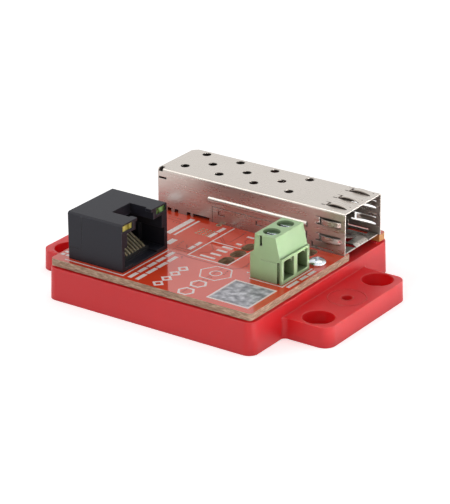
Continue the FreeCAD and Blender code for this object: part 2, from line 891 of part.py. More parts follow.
# Module cage, lower piece
def sfp_cage_floor():
    body = new_body("sfp_cage_floor")
    seam = "flap_seam"
    plate = new_sketch(body, "XY", "board_top")
    rectangle(
        plate,
        "flap_back + " + seam,
        "cage_near",
        "flap_toe_end - " + seam,
        "cage_far",
    )
    pad(body, plate, "cage_sheet")
    apron = new_sketch(body, "XY", "board_top")
    rectangle(
        apron,
        "flap_toe_end - %s - 0.1" % seam,
        "cage_near + cage_sheet + " + seam,
        "cage_mouth - floor_inset",
        "cage_far - cage_sheet - " + seam,
    )
    pad(body, apron, "cage_sheet")
    for face, end_gap in (("cage_far", "flap_far_gap"), ("cage_near + cage_sheet", "flap_near_gap")):
        flap = new_sketch(body, "XZ", face)
        polygon(flap, [
            ("flap_back + " + seam, "board_top"),
            ("flap_toe_end - " + end_gap, "board_top"),
            ("flap_toe_end - " + end_gap, "board_top + flap_toe_height - flap_toe_gap"),
            ("flap_step_end - " + end_gap, "board_top + flap_toe_height - flap_toe_gap"),
            ("flap_step_end - " + end_gap, "board_top + flap_step_height - " + seam),
            ("flap_end - " + end_gap, "board_top + flap_step_height - " + seam),
            ("flap_end - " + end_gap, "board_top + flap_height - " + seam),
            ("flap_back + " + seam, "board_top + flap_height - " + seam),
        ])
        pad(body, flap, "cage_sheet")
    floor_cuts(body)
    return body


def floor_cuts(body):
    """Lances in the flaps, and the slots that free the latch tongue."""
    lances = new_sketch(body, "XZ", "cage_near - 1")
    for step in range(2):
        left = "cage_mouth - lance_first + %d * lance_pitch - lance_width / 2" % step
        low = "board_top + lance_low"
        rectangle(lances, left, low, left + " + 0.3", low + " + lance_height")
        rectangle(lances, left + " + 0.3", low, left + " + lance_width", low + " + 0.2")
    pocket(body, lances, "cage_width + 2")
    floor_tongue(body)


def floor_tongue(body):
    """The latch tongue: freed by two slots, with its catch hole, beside the open windows of the floor."""
    middle = "cage_y + tongue_shift"
    tip = "cage_mouth - floor_inset"
    near_edge = middle + " - tongue_width / 2"
    far_edge = middle + " + tongue_width / 2"
    cuts = new_sketch(body, "XY", "board_top + 1")
    root = tip + " - tongue_length"
    for edge, side in ((near_edge, "-"), (far_edge, "+")):
        polygon(cuts, [
            (root, edge),
            (tip + " + 1", edge),
            (tip + " + 1", "%s %s tongue_tip_slot" % (edge, side)),
            (tip, "%s %s tongue_tip_slot" % (edge, side)),
            (tip + " - floor_lip", "%s %s tongue_slot" % (edge, side)),
            (root, "%s %s tongue_slot" % (edge, side)),
        ])
    pocket(body, cuts, "2")
    windows = new_sketch(body, "XY", "board_top + 1")
    window_end = tip + " - floor_lip"
    window_start = window_end + " - floor_window"
    rectangle(windows, window_start, "cage_near + cage_sheet + floor_side", window_end, near_edge + " - floor_rail")
    rectangle(windows, window_start, far_edge + " + floor_rail", window_end, "cage_far - cage_sheet - floor_side")
    pocket(body, windows, "2")
    under = new_sketch(body, "XY", "board_top + 1")
    rectangle(under, root + " + 0.1", near_edge + " - 0.01", tip + " + 1", far_edge + " + 0.01")
    pocket(body, under, "2")
    peak = tip + " - tongue_tip"
    ramp = new_sketch(body, "XZ", far_edge)
    polygon(ramp, [
        (root + " - 0.2", "board_top"),
        (root, "board_top"),
        (peak, "board_top + tongue_rise"),
        (tip, "board_top"),
        (tip, "board_top + cage_sheet"),
        (peak, "board_top + tongue_rise + cage_sheet"),
        (root, "board_top + cage_sheet"),
        (root + " - 0.2", "board_top + cage_sheet"),
    ])
    pad(body, ramp, "tongue_width")
    catch = new_sketch(body, "XY", "board_top + 2")
    catch_face = tip + " - catch_front"
    polygon(catch, [
        (catch_face, middle + " - catch_width / 2"),
        (catch_face, middle + " + catch_width / 2"),
        (catch_face + " - catch_length", middle + " + catch_point / 2"),
        (catch_face + " - catch_length", middle + " - catch_point / 2"),
    ])
    body.Tip = pocket(body, catch, "3")


# Host connector
def sfp_host_connector(contacts):
    body = new_body("host_block")
    block = new_sketch(body, "XY", "board_top")
    rectangle(
        block,
        "host_x",
        "cage_y - host_width / 2",
        "host_front",
        "cage_y + host_width / 2",
    )
    pad(body, block, "host_height")
    top = number("board_top + host_height")
    dress(body, "Chamfer", "cage_bend", lambda edge: runs_along(edge, "y") and near(edge.CenterOfMass.z, top))
    slot = new_sketch(body, "YZ", "host_front")
    oblong(slot, "cage_y", "host_mid", "host_slot_width", "host_slot_height")
    pocket(body, slot, "host_slot_depth")
    cut = doc.addObject("Part::Cut", "sfp_host_connector")
    cut.Label = "sfp_host_connector"
    cut.Base = body
    cut.Tool = contacts
    return cut


def sfp_host_contacts():
    """Twenty flat contacts, ten under and ten over the card slot."""
    members = []
    for row in (-1, 1):
        for step in range(HOST_ROW):
            middle = step - (HOST_ROW - 1) / 2
            y = "cage_y + (%s) * host_pitch + %s * host_pitch / 4" % (middle, row)
            members.append(host_contact(y, row))
    return group("sfp_host_contacts", members)


def host_contact(y, row):
    """One contact: a blade along the slot wall, a drop and a foot on the board."""
    sheet = "host_contact_sheet"
    blade_low = "host_mid + host_slot_height / 2" if row > 0 else "host_mid - host_slot_height / 2 - " + sheet
    out = "host_x - 0.9" if row > 0 else "host_x + 1.2"
    blade = slab("blade", "(%s + host_front - 0.6) / 2" % out, y, blade_low,
                 "host_front - 0.6 - (%s)" % out, "host_contact_width", sheet)
    drop = slab("drop", "%s + %s / 2" % (out, sheet), y, "board_top",
                sheet, "host_contact_width", blade_low + " - board_top + " + sheet)
    members = [blade, drop]
    if row > 0:
        members.append(slab("foot", "%s - 0.3" % out, y, "board_top", "1.0", "host_contact_width", sheet))
    return fused("host_contact", members)


# Network jack
def jack_tail_spots():
    """Two staggered rows of four contact tails."""
    spots = []
    for step in range(JACK_WIRES):
        x = "tail_x + %d * pin_tail_step" % (step % 2)
        spots.append((x, "jack_y + (%s) * pin_pitch" % (step - (JACK_WIRES - 1) / 2)))
    return spots


def lamp_lead_spots():
    spots = []
    for side in ("-", "+"):
        for pair in ("-", "+"):
            y = "jack_y %s lamp_y %s lead_pitch / 2" % (side, pair)
            spots.append(("jack_back + lead_back", y))
    return spots


def jack_housing():
    body = new_body("jack_housing")
    block = new_sketch(body, "XY", "board_top")
    rectangle(block, "jack_back", "jack_near", "jack_mouth", "jack_far")
    pad(body, block, "jack_height")
    top = number("jack_top")
    dress(
        body,
        "Chamfer",
        "jack_edge",
        lambda edge: runs_along(edge, "x") and near(edge.CenterOfMass.z, top),
    )
    jack_mouth_cuts(body)
    jack_channels(body)
    pegs = new_sketch(body, "XY", "tail_end")
    for side in ("-", "+"):
        y = "jack_y %s jack_peg_pitch / 2" % side
        circle(pegs, "jack_back + jack_peg_back", y, "jack_peg_radius")
    pad(body, pegs, "board_top - tail_end")
    return body


def jack_mouth_cuts(body):
    """The stepped plug opening, the latch slot and its rounded lips."""
    plug = new_sketch(body, "YZ", "jack_mouth")
    rectangle(
        plug,
        "jack_near + jack_wall",
        "board_top + jack_plug_low",
        "jack_far - jack_wall",
        "board_top + jack_plug_high",
    )
    pocket(body, plug, "jack_plug_depth")
    foot = new_sketch(body, "YZ", "jack_mouth")
    rectangle(
        foot,
        "jack_near + jack_foot_wall",
        "board_top + jack_foot_low",
        "jack_far - jack_foot_wall",
        "board_top + jack_foot_high",
    )
    pocket(body, foot, "jack_latch_depth")
    latch = new_sketch(body, "YZ", "jack_mouth")
    oblong(latch, "jack_y", "jack_top - 1", "jack_latch_width", "jack_height - jack_plug_high + 1.5")
    pocket(body, latch, "jack_latch_depth")
    sill = new_sketch(body, "YZ", "jack_mouth")
    rectangle(
        sill,
        "jack_y - jack_sill_width / 2",
        "board_top + jack_sill_height",
        "jack_y + jack_sill_width / 2",
        "board_top + jack_plug_low + 0.1",
    )
    pocket(body, sill, "jack_sill_length")
    lips = new_sketch(body, "XY", "jack_top - jack_edge * 2")
    for side in ("-", "+"):
        y = "jack_y %s (jack_latch_width - jack_lip) / 2" % side
        oblong(lips, "jack_mouth - jack_lip_length / 2", y, "jack_lip_length", "jack_lip")
    pad(body, lips, "jack_edge * 2")


def jack_channels(body):
    """Pockets for the lamps and their leads, and the bay of the carrier."""
    lamps = new_sketch(body, "YZ", "jack_mouth")
    leads = new_sketch(body, "YZ", "jack_mouth")
    for side in ("-", "+"):
        y = "jack_y %s lamp_y" % side
        oblong(lamps, y, "lamp_z + lamp_height / 2", "lamp_width", "lamp_height")
        oblong(leads, y, "lamp_z + lamp_height / 2", "lead_pitch + lead_side", "lead_side * 2")
    pocket(body, lamps, "lamp_length + lamp_set_back")
    pocket(body, leads, "jack_length - lead_back + lead_side / 2")
    drops = new_sketch(body, "XY", "lamp_z + lamp_height / 2 + lead_side")
    for side in ("-", "+"):
        y = "jack_y %s lamp_y" % side
        oblong(drops, "jack_back + lead_back", y, "lead_side", "lead_pitch + lead_side")
    pocket(body, drops, "lamp_z + lamp_height / 2 + lead_side - board_top")
    bay = new_sketch(body, "XY", "carrier_top")
    rectangle(
        bay,
        "jack_back + carrier_back",
        "jack_y - carrier_width / 2",
        "jack_mouth - carrier_front",
        "jack_y + carrier_width / 2",
    )
    pocket(body, bay, "carrier_height")
    seam = new_sketch(body, "XZ", "jack_near")
    high = "jack_top - jack_edge"
    rectangle(seam, "jack_back + jack_seam_back", "board_top + jack_seam_low",
              "jack_back + jack_seam_back + jack_seam", high)
    rectangle(seam, "jack_back", "board_top + jack_seam_low",
              "jack_back + jack_seam_back", "board_top + jack_seam_low + jack_seam")
    pocket(body, seam, "jack_seam")


def jack_contact_carrier(contacts):
    """The block that holds the eight contacts, closed round their roots."""
    block = slab(
        "carrier_block",
        "(jack_back + carrier_back + jack_mouth - carrier_front) / 2",
        "jack_y",
        "board_top",
        "jack_length - carrier_back - carrier_front - 2 * jack_seam",
        "carrier_width - 2 * jack_seam",
        "carrier_height",
    )
    cut = doc.addObject("Part::Cut", "jack_contact_carrier")
    cut.Label = "jack_contact_carrier"
    cut.Base = block
    cut.Tool = contacts
    return cut


def jack_contacts():
    """Eight bent spring wires, their tails in two staggered rows."""
    wires = [bent_wire(step) for step in range(JACK_WIRES)]
    contacts = doc.addObject("Part::Feature", "jack_contacts")
    contacts.Label = "jack_contacts"
    contacts.Shape = Part.Compound(wires)
    return contacts


def bent_wire(step):
    """One wire: up through the board, along the carrier, round and back."""
    sheet = number("pin_sheet")
    tail = number("tail_x + %d * pin_tail_step" % (step % 2))
    tip = number("tip_x")
    run = number("board_top + carrier_height / 2")
    bend = number("pin_bend")
    path = [
        (tail, number("tail_end")),
        (tail, run),
        (tip - bend, run),
        (tip, run + bend * 0.5),
        (tip, run + bend * 1.3),
        (tip - bend, run + bend * 2),
        (tip - number("pin_spring_run"), run + bend * 2 + number("pin_spring_rise")),
    ]
    middle = number("jack_y + (%s) * pin_pitch" % (step - (JACK_WIRES - 1) / 2))
    width = number("pin_width")
    return strip_along(path, sheet, middle - width / 2, width)


def strip_along(path, sheet, start, width):
    """A flat strip of even thickness that follows a path in the XZ plane."""
    spots = [FreeCAD.Vector(x, 0, z) for x, z in path]
    left = []
    right = []
    for here, spot in enumerate(spots):
        before = spots[max(here - 1, 0)]
        after = spots[min(here + 1, len(spots) - 1)]
        incoming = (spot - before) if here else (after - spot)
        outgoing = (after - spot) if here < len(spots) - 1 else (spot - before)
        incoming = FreeCAD.Vector(incoming).normalize()
        outgoing = FreeCAD.Vector(outgoing).normalize()
        side_in = FreeCAD.Vector(-incoming.z, 0, incoming.x)
        side_out = FreeCAD.Vector(-outgoing.z, 0, outgoing.x)
        mitre = (side_in + side_out).normalize()
        reach = sheet / 2 / mitre.dot(side_in)
        left.append(spot + mitre * reach)
        right.append(spot - mitre * reach)
    outline = left + right[::-1]
    outline.append(outline[0])
    face = Part.Face(Part.makePolygon(outline))
    face.translate(FreeCAD.Vector(0, start, 0))
    return face.extrude(FreeCAD.Vector(0, width, 0))


def jack_lamp(label, side):
    """A rectangular lamp with two leads that run back and down to the board."""
    y = "jack_y %s lamp_y" % side
    front = "jack_mouth - lamp_set_back"
    middle = "lamp_z + lamp_height / 2"
    body = slab("lamp_body", "%s - lamp_length / 2" % front, y, "lamp_z",
                "lamp_length", "lamp_width", "lamp_height")
    members = [body]
    back = "jack_back + lead_back"
    for pair in ("-", "+"):
        lead_y = "%s %s lead_pitch / 2" % (y, pair)
        length = "%s - lamp_length + 0.1 - (%s) + lead_side / 2" % (front, back)
        members.append(slab("lead_run", "%s - lamp_length + 0.1 - (%s) / 2" % (front, length), lead_y,
                            middle + " - lead_side / 2", length, "lead_side", "lead_side"))
        members.append(slab("lead_drop", back, lead_y, "tail_end",
                            "lead_side", "lead_side", middle + " - tail_end"))
    return fused(label, members)


# Terminal block
def terminal_housing():
    body = new_body("terminal_housing")
    profile = new_sketch(body, "XZ", "terminal_far")
    shoulder = "board_top + terminal_shoulder"
    polygon(profile, [
        ("terminal_back", "board_top"),
        ("terminal_face", "board_top"),
        ("terminal_face", shoulder),
        ("terminal_face - terminal_lip", shoulder + " - 0.1"),
        ("terminal_face - terminal_brow", "terminal_top"),
        ("terminal_back + terminal_top_back", "terminal_top"),
        ("terminal_back + terminal_heel", shoulder + " + 0.7"),
        ("terminal_back", shoulder),
    ])
    pad(body, profile, "terminal_width")
    terminal_side_slots(body)
    for side in ("-", "+"):
        terminal_pole_cuts(body, "terminal_y %s terminal_pole / 2" % side)
    return body


def terminal_side_slots(body):
    """Dovetail slots behind the front frame and small key slots at the top."""
    slots = new_sketch(body, "XY", "board_top + side_slot_height")
    keys = new_sketch(body, "XY", "terminal_top - cage_sheet")
    left = "terminal_face - side_slot_inset - side_slot"
    right = "terminal_face - side_slot_inset"
    key_left = "terminal_back + 2.4"
    key_right = "terminal_back + 2.4 + key_slot"
    rectangle(slots, left, "terminal_near - 1", right, "terminal_near + side_slot_depth")
    rectangle(slots, left, "terminal_far - side_slot_depth", right, "terminal_far + 1")
    ledge = new_sketch(body, "XY", "board_top + side_slot_height")
    ledge_left = "%s - side_ledge_length" % left
    rectangle(ledge, ledge_left, "terminal_near - 1", left, "terminal_near + side_ledge_depth")
    rectangle(ledge, ledge_left, "terminal_far - side_ledge_depth", left, "terminal_far + 1")
    rectangle(keys, key_left, "terminal_near - 1", key_right, "terminal_near + key_slot")
    rectangle(keys, key_left, "terminal_far - key_slot", key_right, "terminal_far + 1")
    pocket(body, slots, "side_slot_height")
    pocket(body, ledge, "side_ledge")
    pocket(body, keys, "key_slot_height")


def terminal_pole_cuts(body, y):
    """One pole: the screw well, the clamp's chamber and the wire entry."""
    well = new_sketch(body, "XY", "terminal_top")
    circle(well, "terminal_x", y, "terminal_well")
    pocket(body, well, "terminal_top - chamber_top + 0.1")
    chamber = new_sketch(body, "XY", "chamber_top")
    oblong(
        chamber,
        "terminal_x",
        y,
        "clamp_depth + 2 * clamp_clearance",
        "clamp_width + 2 * clamp_clearance",
    )
    pocket(body, chamber, "chamber_top - chamber_floor")
    frame = new_sketch(body, "YZ", "terminal_face")
    half = "entry_width / 2"
    low = "board_top + entry_low"
    high = "board_top + entry_high"
    left = "%s - %s" % (y, half)
    right = "%s + %s" % (y, half)
    rectangle(frame, left, low, right, "board_top + entry_frame_high")
    pocket(body, frame, "entry_frame_depth")
    entry = new_sketch(body, "YZ", "terminal_face")
    polygon(entry, [
        (left, low),
        (right, low),
        (right, high + " - entry_arch"),
        (right + " - entry_arch * 0.3", high + " - entry_arch * 0.3"),
        (right + " - entry_arch", high),
        (left + " + entry_arch", high),
        (left + " + entry_arch * 0.3", high + " - entry_arch * 0.3"),
        (left, high + " - entry_arch"),
    ])
    pocket(body, entry, "terminal_axis")
    rear = new_sketch(body, "XY", "bar_top + clamp_clearance")
    oblong(
        rear,
        "leg_x",
        y,
        "bar_thickness + 2 * clamp_clearance",
        "bar_width + 2 * clamp_clearance",
    )
    pocket(body, rear, "bar_top + clamp_clearance - chamber_floor")
    foot = new_sketch(body, "XY", "chamber_floor")
    oblong(foot, "leg_x", y, "bar_thickness + 2 * hole_clearance", "bar_leg + 2 * hole_clearance")
    pocket(body, foot, "terminal_floor")


def terminal_clamp(label, side):
    """A rising clamp: a rectangular frame with a threaded head."""
    y = "terminal_y %s terminal_pole / 2" % side
    body = new_body(label)
    block = new_sketch(body, "XY", "clamp_bottom")
    oblong(block, "terminal_x", y, "clamp_depth", "clamp_width")
    pad(body, block, "clamp_height")
    window = new_sketch(body, "YZ", "terminal_x + clamp_depth")
    oblong(
        window,
        y,
        "(window_low + window_high) / 2",
        "clamp_width - 2 * clamp_wall",
        "window_high - window_low",
    )
    pocket(body, window, "2 * clamp_depth")
    bore = new_sketch(body, "XY", "clamp_top")
    circle(bore, "terminal_x", y, "clamp_screw_radius + clamp_screw_fit")
    pocket(body, bore, "clamp_head")
    return body


def terminal_screw(label, side):
    """A slotted screw whose tip bears on the contact bar."""
    y = "terminal_y %s terminal_pole / 2" % side
    body = new_body(label)
    shank = new_sketch(body, "XY", "bar_top + clamp_clearance / 2")
    circle(shank, "terminal_x", y, "clamp_screw_radius")
    pad(body, shank, "head_bottom - bar_top")
    head = new_sketch(body, "XY", "head_bottom")
    circle(head, "terminal_x", y, "clamp_screw_head")
    pad(body, head, "clamp_screw_head_height")
    slot = new_sketch(body, "XY", "head_top")
    oblong(slot, "terminal_x", y, "4 * clamp_screw_head", "clamp_screw_slot")
    pocket(body, slot, "clamp_screw_slot_depth")
    return body


def terminal_pin(label, side):
    """The fixed contact: a bar through the clamp and a leg into the board."""
    y = "terminal_y %s terminal_pole / 2" % side
    front = "terminal_x + clamp_depth / 2"
    back = "leg_x - bar_thickness / 2"
    bar = slab("bar", "(%s + %s) / 2" % (front, back), y, "bar_bottom",
               "%s - (%s)" % (front, back), "bar_width", "bar_thickness")
    plate = slab("bar_plate", "leg_x", y, "chamber_floor", "bar_thickness", "bar_width",
                 "bar_top - chamber_floor")
    leg = slab("leg", "leg_x", y, "tail_end", "bar_thickness", "bar_leg",
               "bar_top - tail_end")
    return fused(label, [bar, plate, leg])


# Lamps and parts under the board
def status_lamps():
    spots = [("status_x", "status_first + %d * status_pitch" % step) for step in range(3)]
    spots.append(("status_last_x", "status_last_y"))
    cases = [
        slab("lamp_case", x, y, "board_bottom - status_height",
             "status_length", "status_width", "status_height")
        for x, y in spots
    ]
    return group("status_leds", cases)


def leaded_chip(label, x, y, length, width, height, pitch, count):
    """A moulded package with bevelled ends and leads bent up to the board."""
    package = new_body("package")
    outline = new_sketch(package, "XY", "board_bottom - %s - chip_standoff" % height)
    oblong(outline, x, y, length, width)
    pad(package, outline, height)
    dress(package, "Chamfer", "chip_bevel", lambda edge: runs_along(edge, "y"))
    leads = doc.addObject("Part::Feature", "leads")
    leads.Shape = Part.Compound([
        gull_lead(x, y, width, height, side, "(%s) * %s" % (step - (count - 1) / 2, pitch))
        for side in (-1, 1)
        for step in range(count)
    ])
    return fused(label, [package, leads])


def gull_lead(x, y, width, height, side, along):
    """One lead: out of the package, up to the board and out along it."""
    sheet = number("chip_lead_sheet")
    body_edge = number("(%s) / 2" % width)
    out = number("chip_lead_out")
    middle = number("board_bottom - chip_standoff - (%s) / 2" % height)
    top = number("board_bottom") - sheet / 2
    path = [
        (body_edge - out / 2, middle),
        (body_edge + out * 0.5, middle),
        (body_edge + out * 0.65, top + sheet / 2),
    ]
    strip = strip_along(path, sheet, -number("chip_lead") / 2, number("chip_lead"))
    strip.rotate(FreeCAD.Vector(0, 0, 0), FreeCAD.Vector(0, 0, 1), 90 * side)
    strip.translate(FreeCAD.Vector(number("%s + %s" % (x, along)), number(y), 0))
    return strip


def bevelled_block(label, x, y, length, width, height):
    """A leadless package with its four lower edges bevelled."""
    body = new_body(label)
    outline = new_sketch(body, "XY", "board_bottom - %s" % height)
    oblong(outline, x, y, length, width)
    pad(body, outline, height)
    low = number("board_bottom - %s" % height)
    dress(body, "Chamfer", "chip_bevel / 2", lambda edge: near(edge.BoundBox.ZMax, low))
    return body


def under_board_parts():
    magnetics = leaded_chip("ethernet_transformer", "magnetics_x", "jack_y", "magnetics_length",
                            "magnetics_width", "magnetics_height", "magnetics_pitch", 8)
    regulator = leaded_chip("regulator_chip", "regulator_x", "jack_y", "regulator_length",
                            "regulator_width", "regulator_height", "magnetics_pitch", 4)
    bridge = leaded_chip("input_rectifier", "bridge_x", "terminal_y", "bridge_length",
                         "bridge_width", "bridge_height", "bridge_pitch", 2)
    chip = bevelled_block("converter_chip", "chip_x", "chip_y", "chip_side", "chip_side", "chip_height")
    crystal = bevelled_block("clock_crystal", "crystal_x", "chip_y", "crystal_length", "crystal_width", "crystal_height")
    capacitors = [
        slab("capacitor", "capacitor_x + %d * capacitor_pitch" % step, "capacitor_y", "board_bottom - capacitor_height",
             "capacitor_width", "capacitor_length", "capacitor_height")
        for step in range(4)
    ]
    coil = new_body("power_inductor")
    outline = new_sketch(coil, "XY", "board_bottom - inductor_height")
    oblong(outline, "coil_x", "jack_y", "inductor_side", "inductor_side")
    pad(coil, outline, "inductor_height")
    dress(coil, "Chamfer", "inductor_corner", lambda edge: runs_along(edge, "z"))
    return [magnetics, regulator, chip, crystal, bridge, group("filter_capacitors", capacitors), coil]


def write_out(parts):
    """Check every object and write each sub-part to its own file."""
    doc.recompute()
    for thing in doc.Objects:
        if "Invalid" in thing.State or "Error" in thing.State:
            raise RuntimeError("%s failed: %s" % (thing.Label, thing.State))
    os.makedirs("parts", exist_ok=True)
    for part in parts:
        shape = part.Shape
        if shape.isNull() or not shape.isValid():
            raise RuntimeError("%s has no valid shape" % part.Label)
        shape.exportStep("parts/%s.step" % part.Label)


host_contacts = sfp_host_contacts()
wires = jack_contacts()
parts = [
    base_tray(),
    circuit_board(),
    board_screws(),
    sfp_cage_shell(),
    sfp_cage_floor(),
    sfp_host_connector(host_contacts),
    host_contacts,
    jack_housing(),
    jack_contact_carrier(wires),
    wires,
    jack_lamp("jack_led_yellow", "-"),
    jack_lamp("jack_led_green", "+"),
    terminal_housing(),
    terminal_clamp("terminal_clamp_1", "-"),
    terminal_clamp("terminal_clamp_2", "+"),
    terminal_screw("terminal_screw_1", "-"),
    terminal_screw("terminal_screw_2", "+"),
    terminal_pin("terminal_pin_1", "-"),
    terminal_pin("terminal_pin_2", "+"),
    status_lamps(),
] + under_board_parts()
write_out(parts)
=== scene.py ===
import math

import bmesh
import bpy
from mathutils import Euler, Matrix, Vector


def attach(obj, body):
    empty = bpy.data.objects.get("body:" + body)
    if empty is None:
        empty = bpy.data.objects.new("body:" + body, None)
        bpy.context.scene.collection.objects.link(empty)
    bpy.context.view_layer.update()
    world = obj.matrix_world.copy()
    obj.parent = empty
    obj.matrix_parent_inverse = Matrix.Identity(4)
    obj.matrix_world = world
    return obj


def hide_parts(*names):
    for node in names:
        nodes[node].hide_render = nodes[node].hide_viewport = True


# Fibre media converter: an open circuit board with a module cage, a network jack and a screw terminal,
# seated on a moulded tray with a screw ear at each end.
# Lengths are metres in the part's own frame, and MM turns a maker's millimetres into them. The shapes
# of ink, copper, solder, screws and rings are written in millimetres.

MM = 0.001
BODY = "converter"

# Camera, solved so that the part's edges fall where the photograph has them
CAMERA_PLACE = (276.48 * MM, -395.15 * MM, 214.40 * MM)
CAMERA_TARGET = (4.805 * MM, -5.094 * MM, 10.388 * MM)
CAMERA_ROLL_DEGREES = -0.328
CAMERA_LENS = 174.99
SENSOR_HEIGHT = 36.0

# Rays that the edge and hollow nodes send out from each point
EDGE_SAMPLES = 8
HOLLOW_SAMPLES = 8

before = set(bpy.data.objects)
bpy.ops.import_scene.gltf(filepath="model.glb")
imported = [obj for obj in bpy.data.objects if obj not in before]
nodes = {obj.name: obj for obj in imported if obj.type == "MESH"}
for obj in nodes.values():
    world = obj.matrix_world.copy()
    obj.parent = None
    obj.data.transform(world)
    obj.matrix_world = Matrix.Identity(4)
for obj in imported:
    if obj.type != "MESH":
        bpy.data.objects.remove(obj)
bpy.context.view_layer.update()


# Colours and shader nodes
def linear(code):
    """An sRGB hex colour as the linear colour that a shader takes."""
    parts = [int(code[place:place + 2], 16) / 255 for place in (1, 3, 5)]
    bent = [((part + 0.055) / 1.055) ** 2.4 if part > 0.04045 else part / 12.92 for part in parts]
    return (*bent, 1.0)


def per_metre(size):
    """The texture scale that repeats once in a size given in millimetres."""
    return 1.0 / (size * MM)


def add(tree, kind, inputs=None, **settings):
    """Adds a node with its settings. An input is a value, or the node or socket that feeds it."""
    made = tree.nodes.new(kind)
    for name, value in settings.items():
        setattr(made, name, value)
    for name, value in (inputs or {}).items():
        live = [socket for socket in made.inputs if socket.enabled]
        into = live[name] if isinstance(name, int) else next(s for s in live if s.name == name)
        if isinstance(value, bpy.types.Node):
            value = next(socket for socket in value.outputs if socket.enabled)
        if isinstance(value, bpy.types.NodeSocket):
            tree.links.new(value, into)
        else:
            into.default_value = value
    return made


def start_material(name):
    """A fresh material with its node tree and the place of each point in the part's own frame."""
    material = bpy.data.materials.new(name)
    material.use_nodes = True
    tree = material.node_tree
    tree.nodes.clear()
    place = add(tree, "ShaderNodeTexCoord").outputs["Object"]
    return material, tree, place


def finish_material(material, tree, surface):
    """Joins the surface shader to the material's output and returns the material."""
    add(tree, "ShaderNodeOutputMaterial", {"Surface": surface})
    return material


def ramp_stops(ramp, stops):
    """Gives a colour ramp its stops, each a place from 0 to 1 and a colour."""
    line = ramp.color_ramp
    while len(line.elements) < len(stops):
        line.elements.new(0.5)
    for stop, (place, colour) in zip(line.elements, stops):
        stop.position = place
        stop.color = colour


def rounded_edge(tree, radius):
    """The surface normal, with edges rounded to a radius in millimetres."""
    return add(tree, "ShaderNodeBevel", {"Radius": radius * MM}, samples=EDGE_SAMPLES)


def edge_highlight_mask(tree, rounded):
    """How near a rounded edge a point lies, 0 on the flat and 1 on the edge: the mask of a painted edge
    highlight.
    """
    flat = add(tree, "ShaderNodeNewGeometry").outputs["Normal"]
    alike = add(tree, "ShaderNodeVectorMath", {0: rounded, 1: flat}, operation="DOT_PRODUCT")
    return add(tree, "ShaderNodeMapRange", {
        "Value": alike.outputs["Value"], "From Min": 1.0, "From Max": 0.82, "To Min": 0.0, "To Max": 1.0,
    })


def shade_hollows(tree, colour, reach, deep, strength=1.0):
    """The colour, deepened where surfaces nearer than a reach in millimetres close round it."""
    opened = add(tree, "ShaderNodeAmbientOcclusion", {"Distance": reach * MM}, samples=HOLLOW_SAMPLES)
    closed = add(tree, "ShaderNodeMapRange", {
        "Value": opened.outputs["AO"], "From Min": 0.15, "From Max": 0.75,
        "To Min": strength, "To Max": 0.0,
    })
    return add(tree, "ShaderNodeMix", {"Factor": closed, "A": colour, "B": linear(deep)}, data_type="RGBA")


# Finishes
def moulded_red_abs():
    """ABS moulded in a spark-eroded tool: semi-matt, with a glow where it is thin and a painted highlight
    paling its edges.
    """
    material, tree, place = start_material("moulded_red_abs")
    rounded = rounded_edge(tree, 0.3)
    edge_highlight = edge_highlight_mask(tree, rounded)
    grain = add(tree, "ShaderNodeTexNoise", {"Vector": place, "Scale": per_metre(0.35), "Detail": 3.0})
    cloud = add(tree, "ShaderNodeTexNoise", {"Vector": place, "Scale": per_metre(14.0), "Detail": 2.0})
    body = add(tree, "ShaderNodeMix", {
        "Factor": cloud.outputs["Fac"], "A": linear("#df1d25"), "B": linear("#e7252d"),
    }, data_type="RGBA")
    # Painted highlight: the edges are paled towards a light pink
    pale = add(tree, "ShaderNodeMath", {0: edge_highlight, 1: 0.35}, operation="MULTIPLY")
    colour = add(tree, "ShaderNodeMix", {
        "Factor": pale, "A": body, "B": linear("#f58a84"),
    }, data_type="RGBA")
    gloss = add(tree, "ShaderNodeMapRange", {"Value": grain.outputs["Fac"], "To Min": 0.34, "To Max": 0.5})
    bump = add(tree, "ShaderNodeBump", {
        "Height": grain.outputs["Fac"], "Strength": 0.12, "Distance": 0.05 * MM, "Normal": rounded,
    })
    shader = add(tree, "ShaderNodeBsdfPrincipled", {
        "Base Color": colour, "Roughness": gloss, "Normal": bump, "IOR": 1.53,
        "Subsurface Weight": 0.6, "Subsurface Radius": (2.4 * MM, 0.15 * MM, 0.12 * MM),
        "Subsurface Scale": 1.0,
    })
    return finish_material(material, tree, shader)


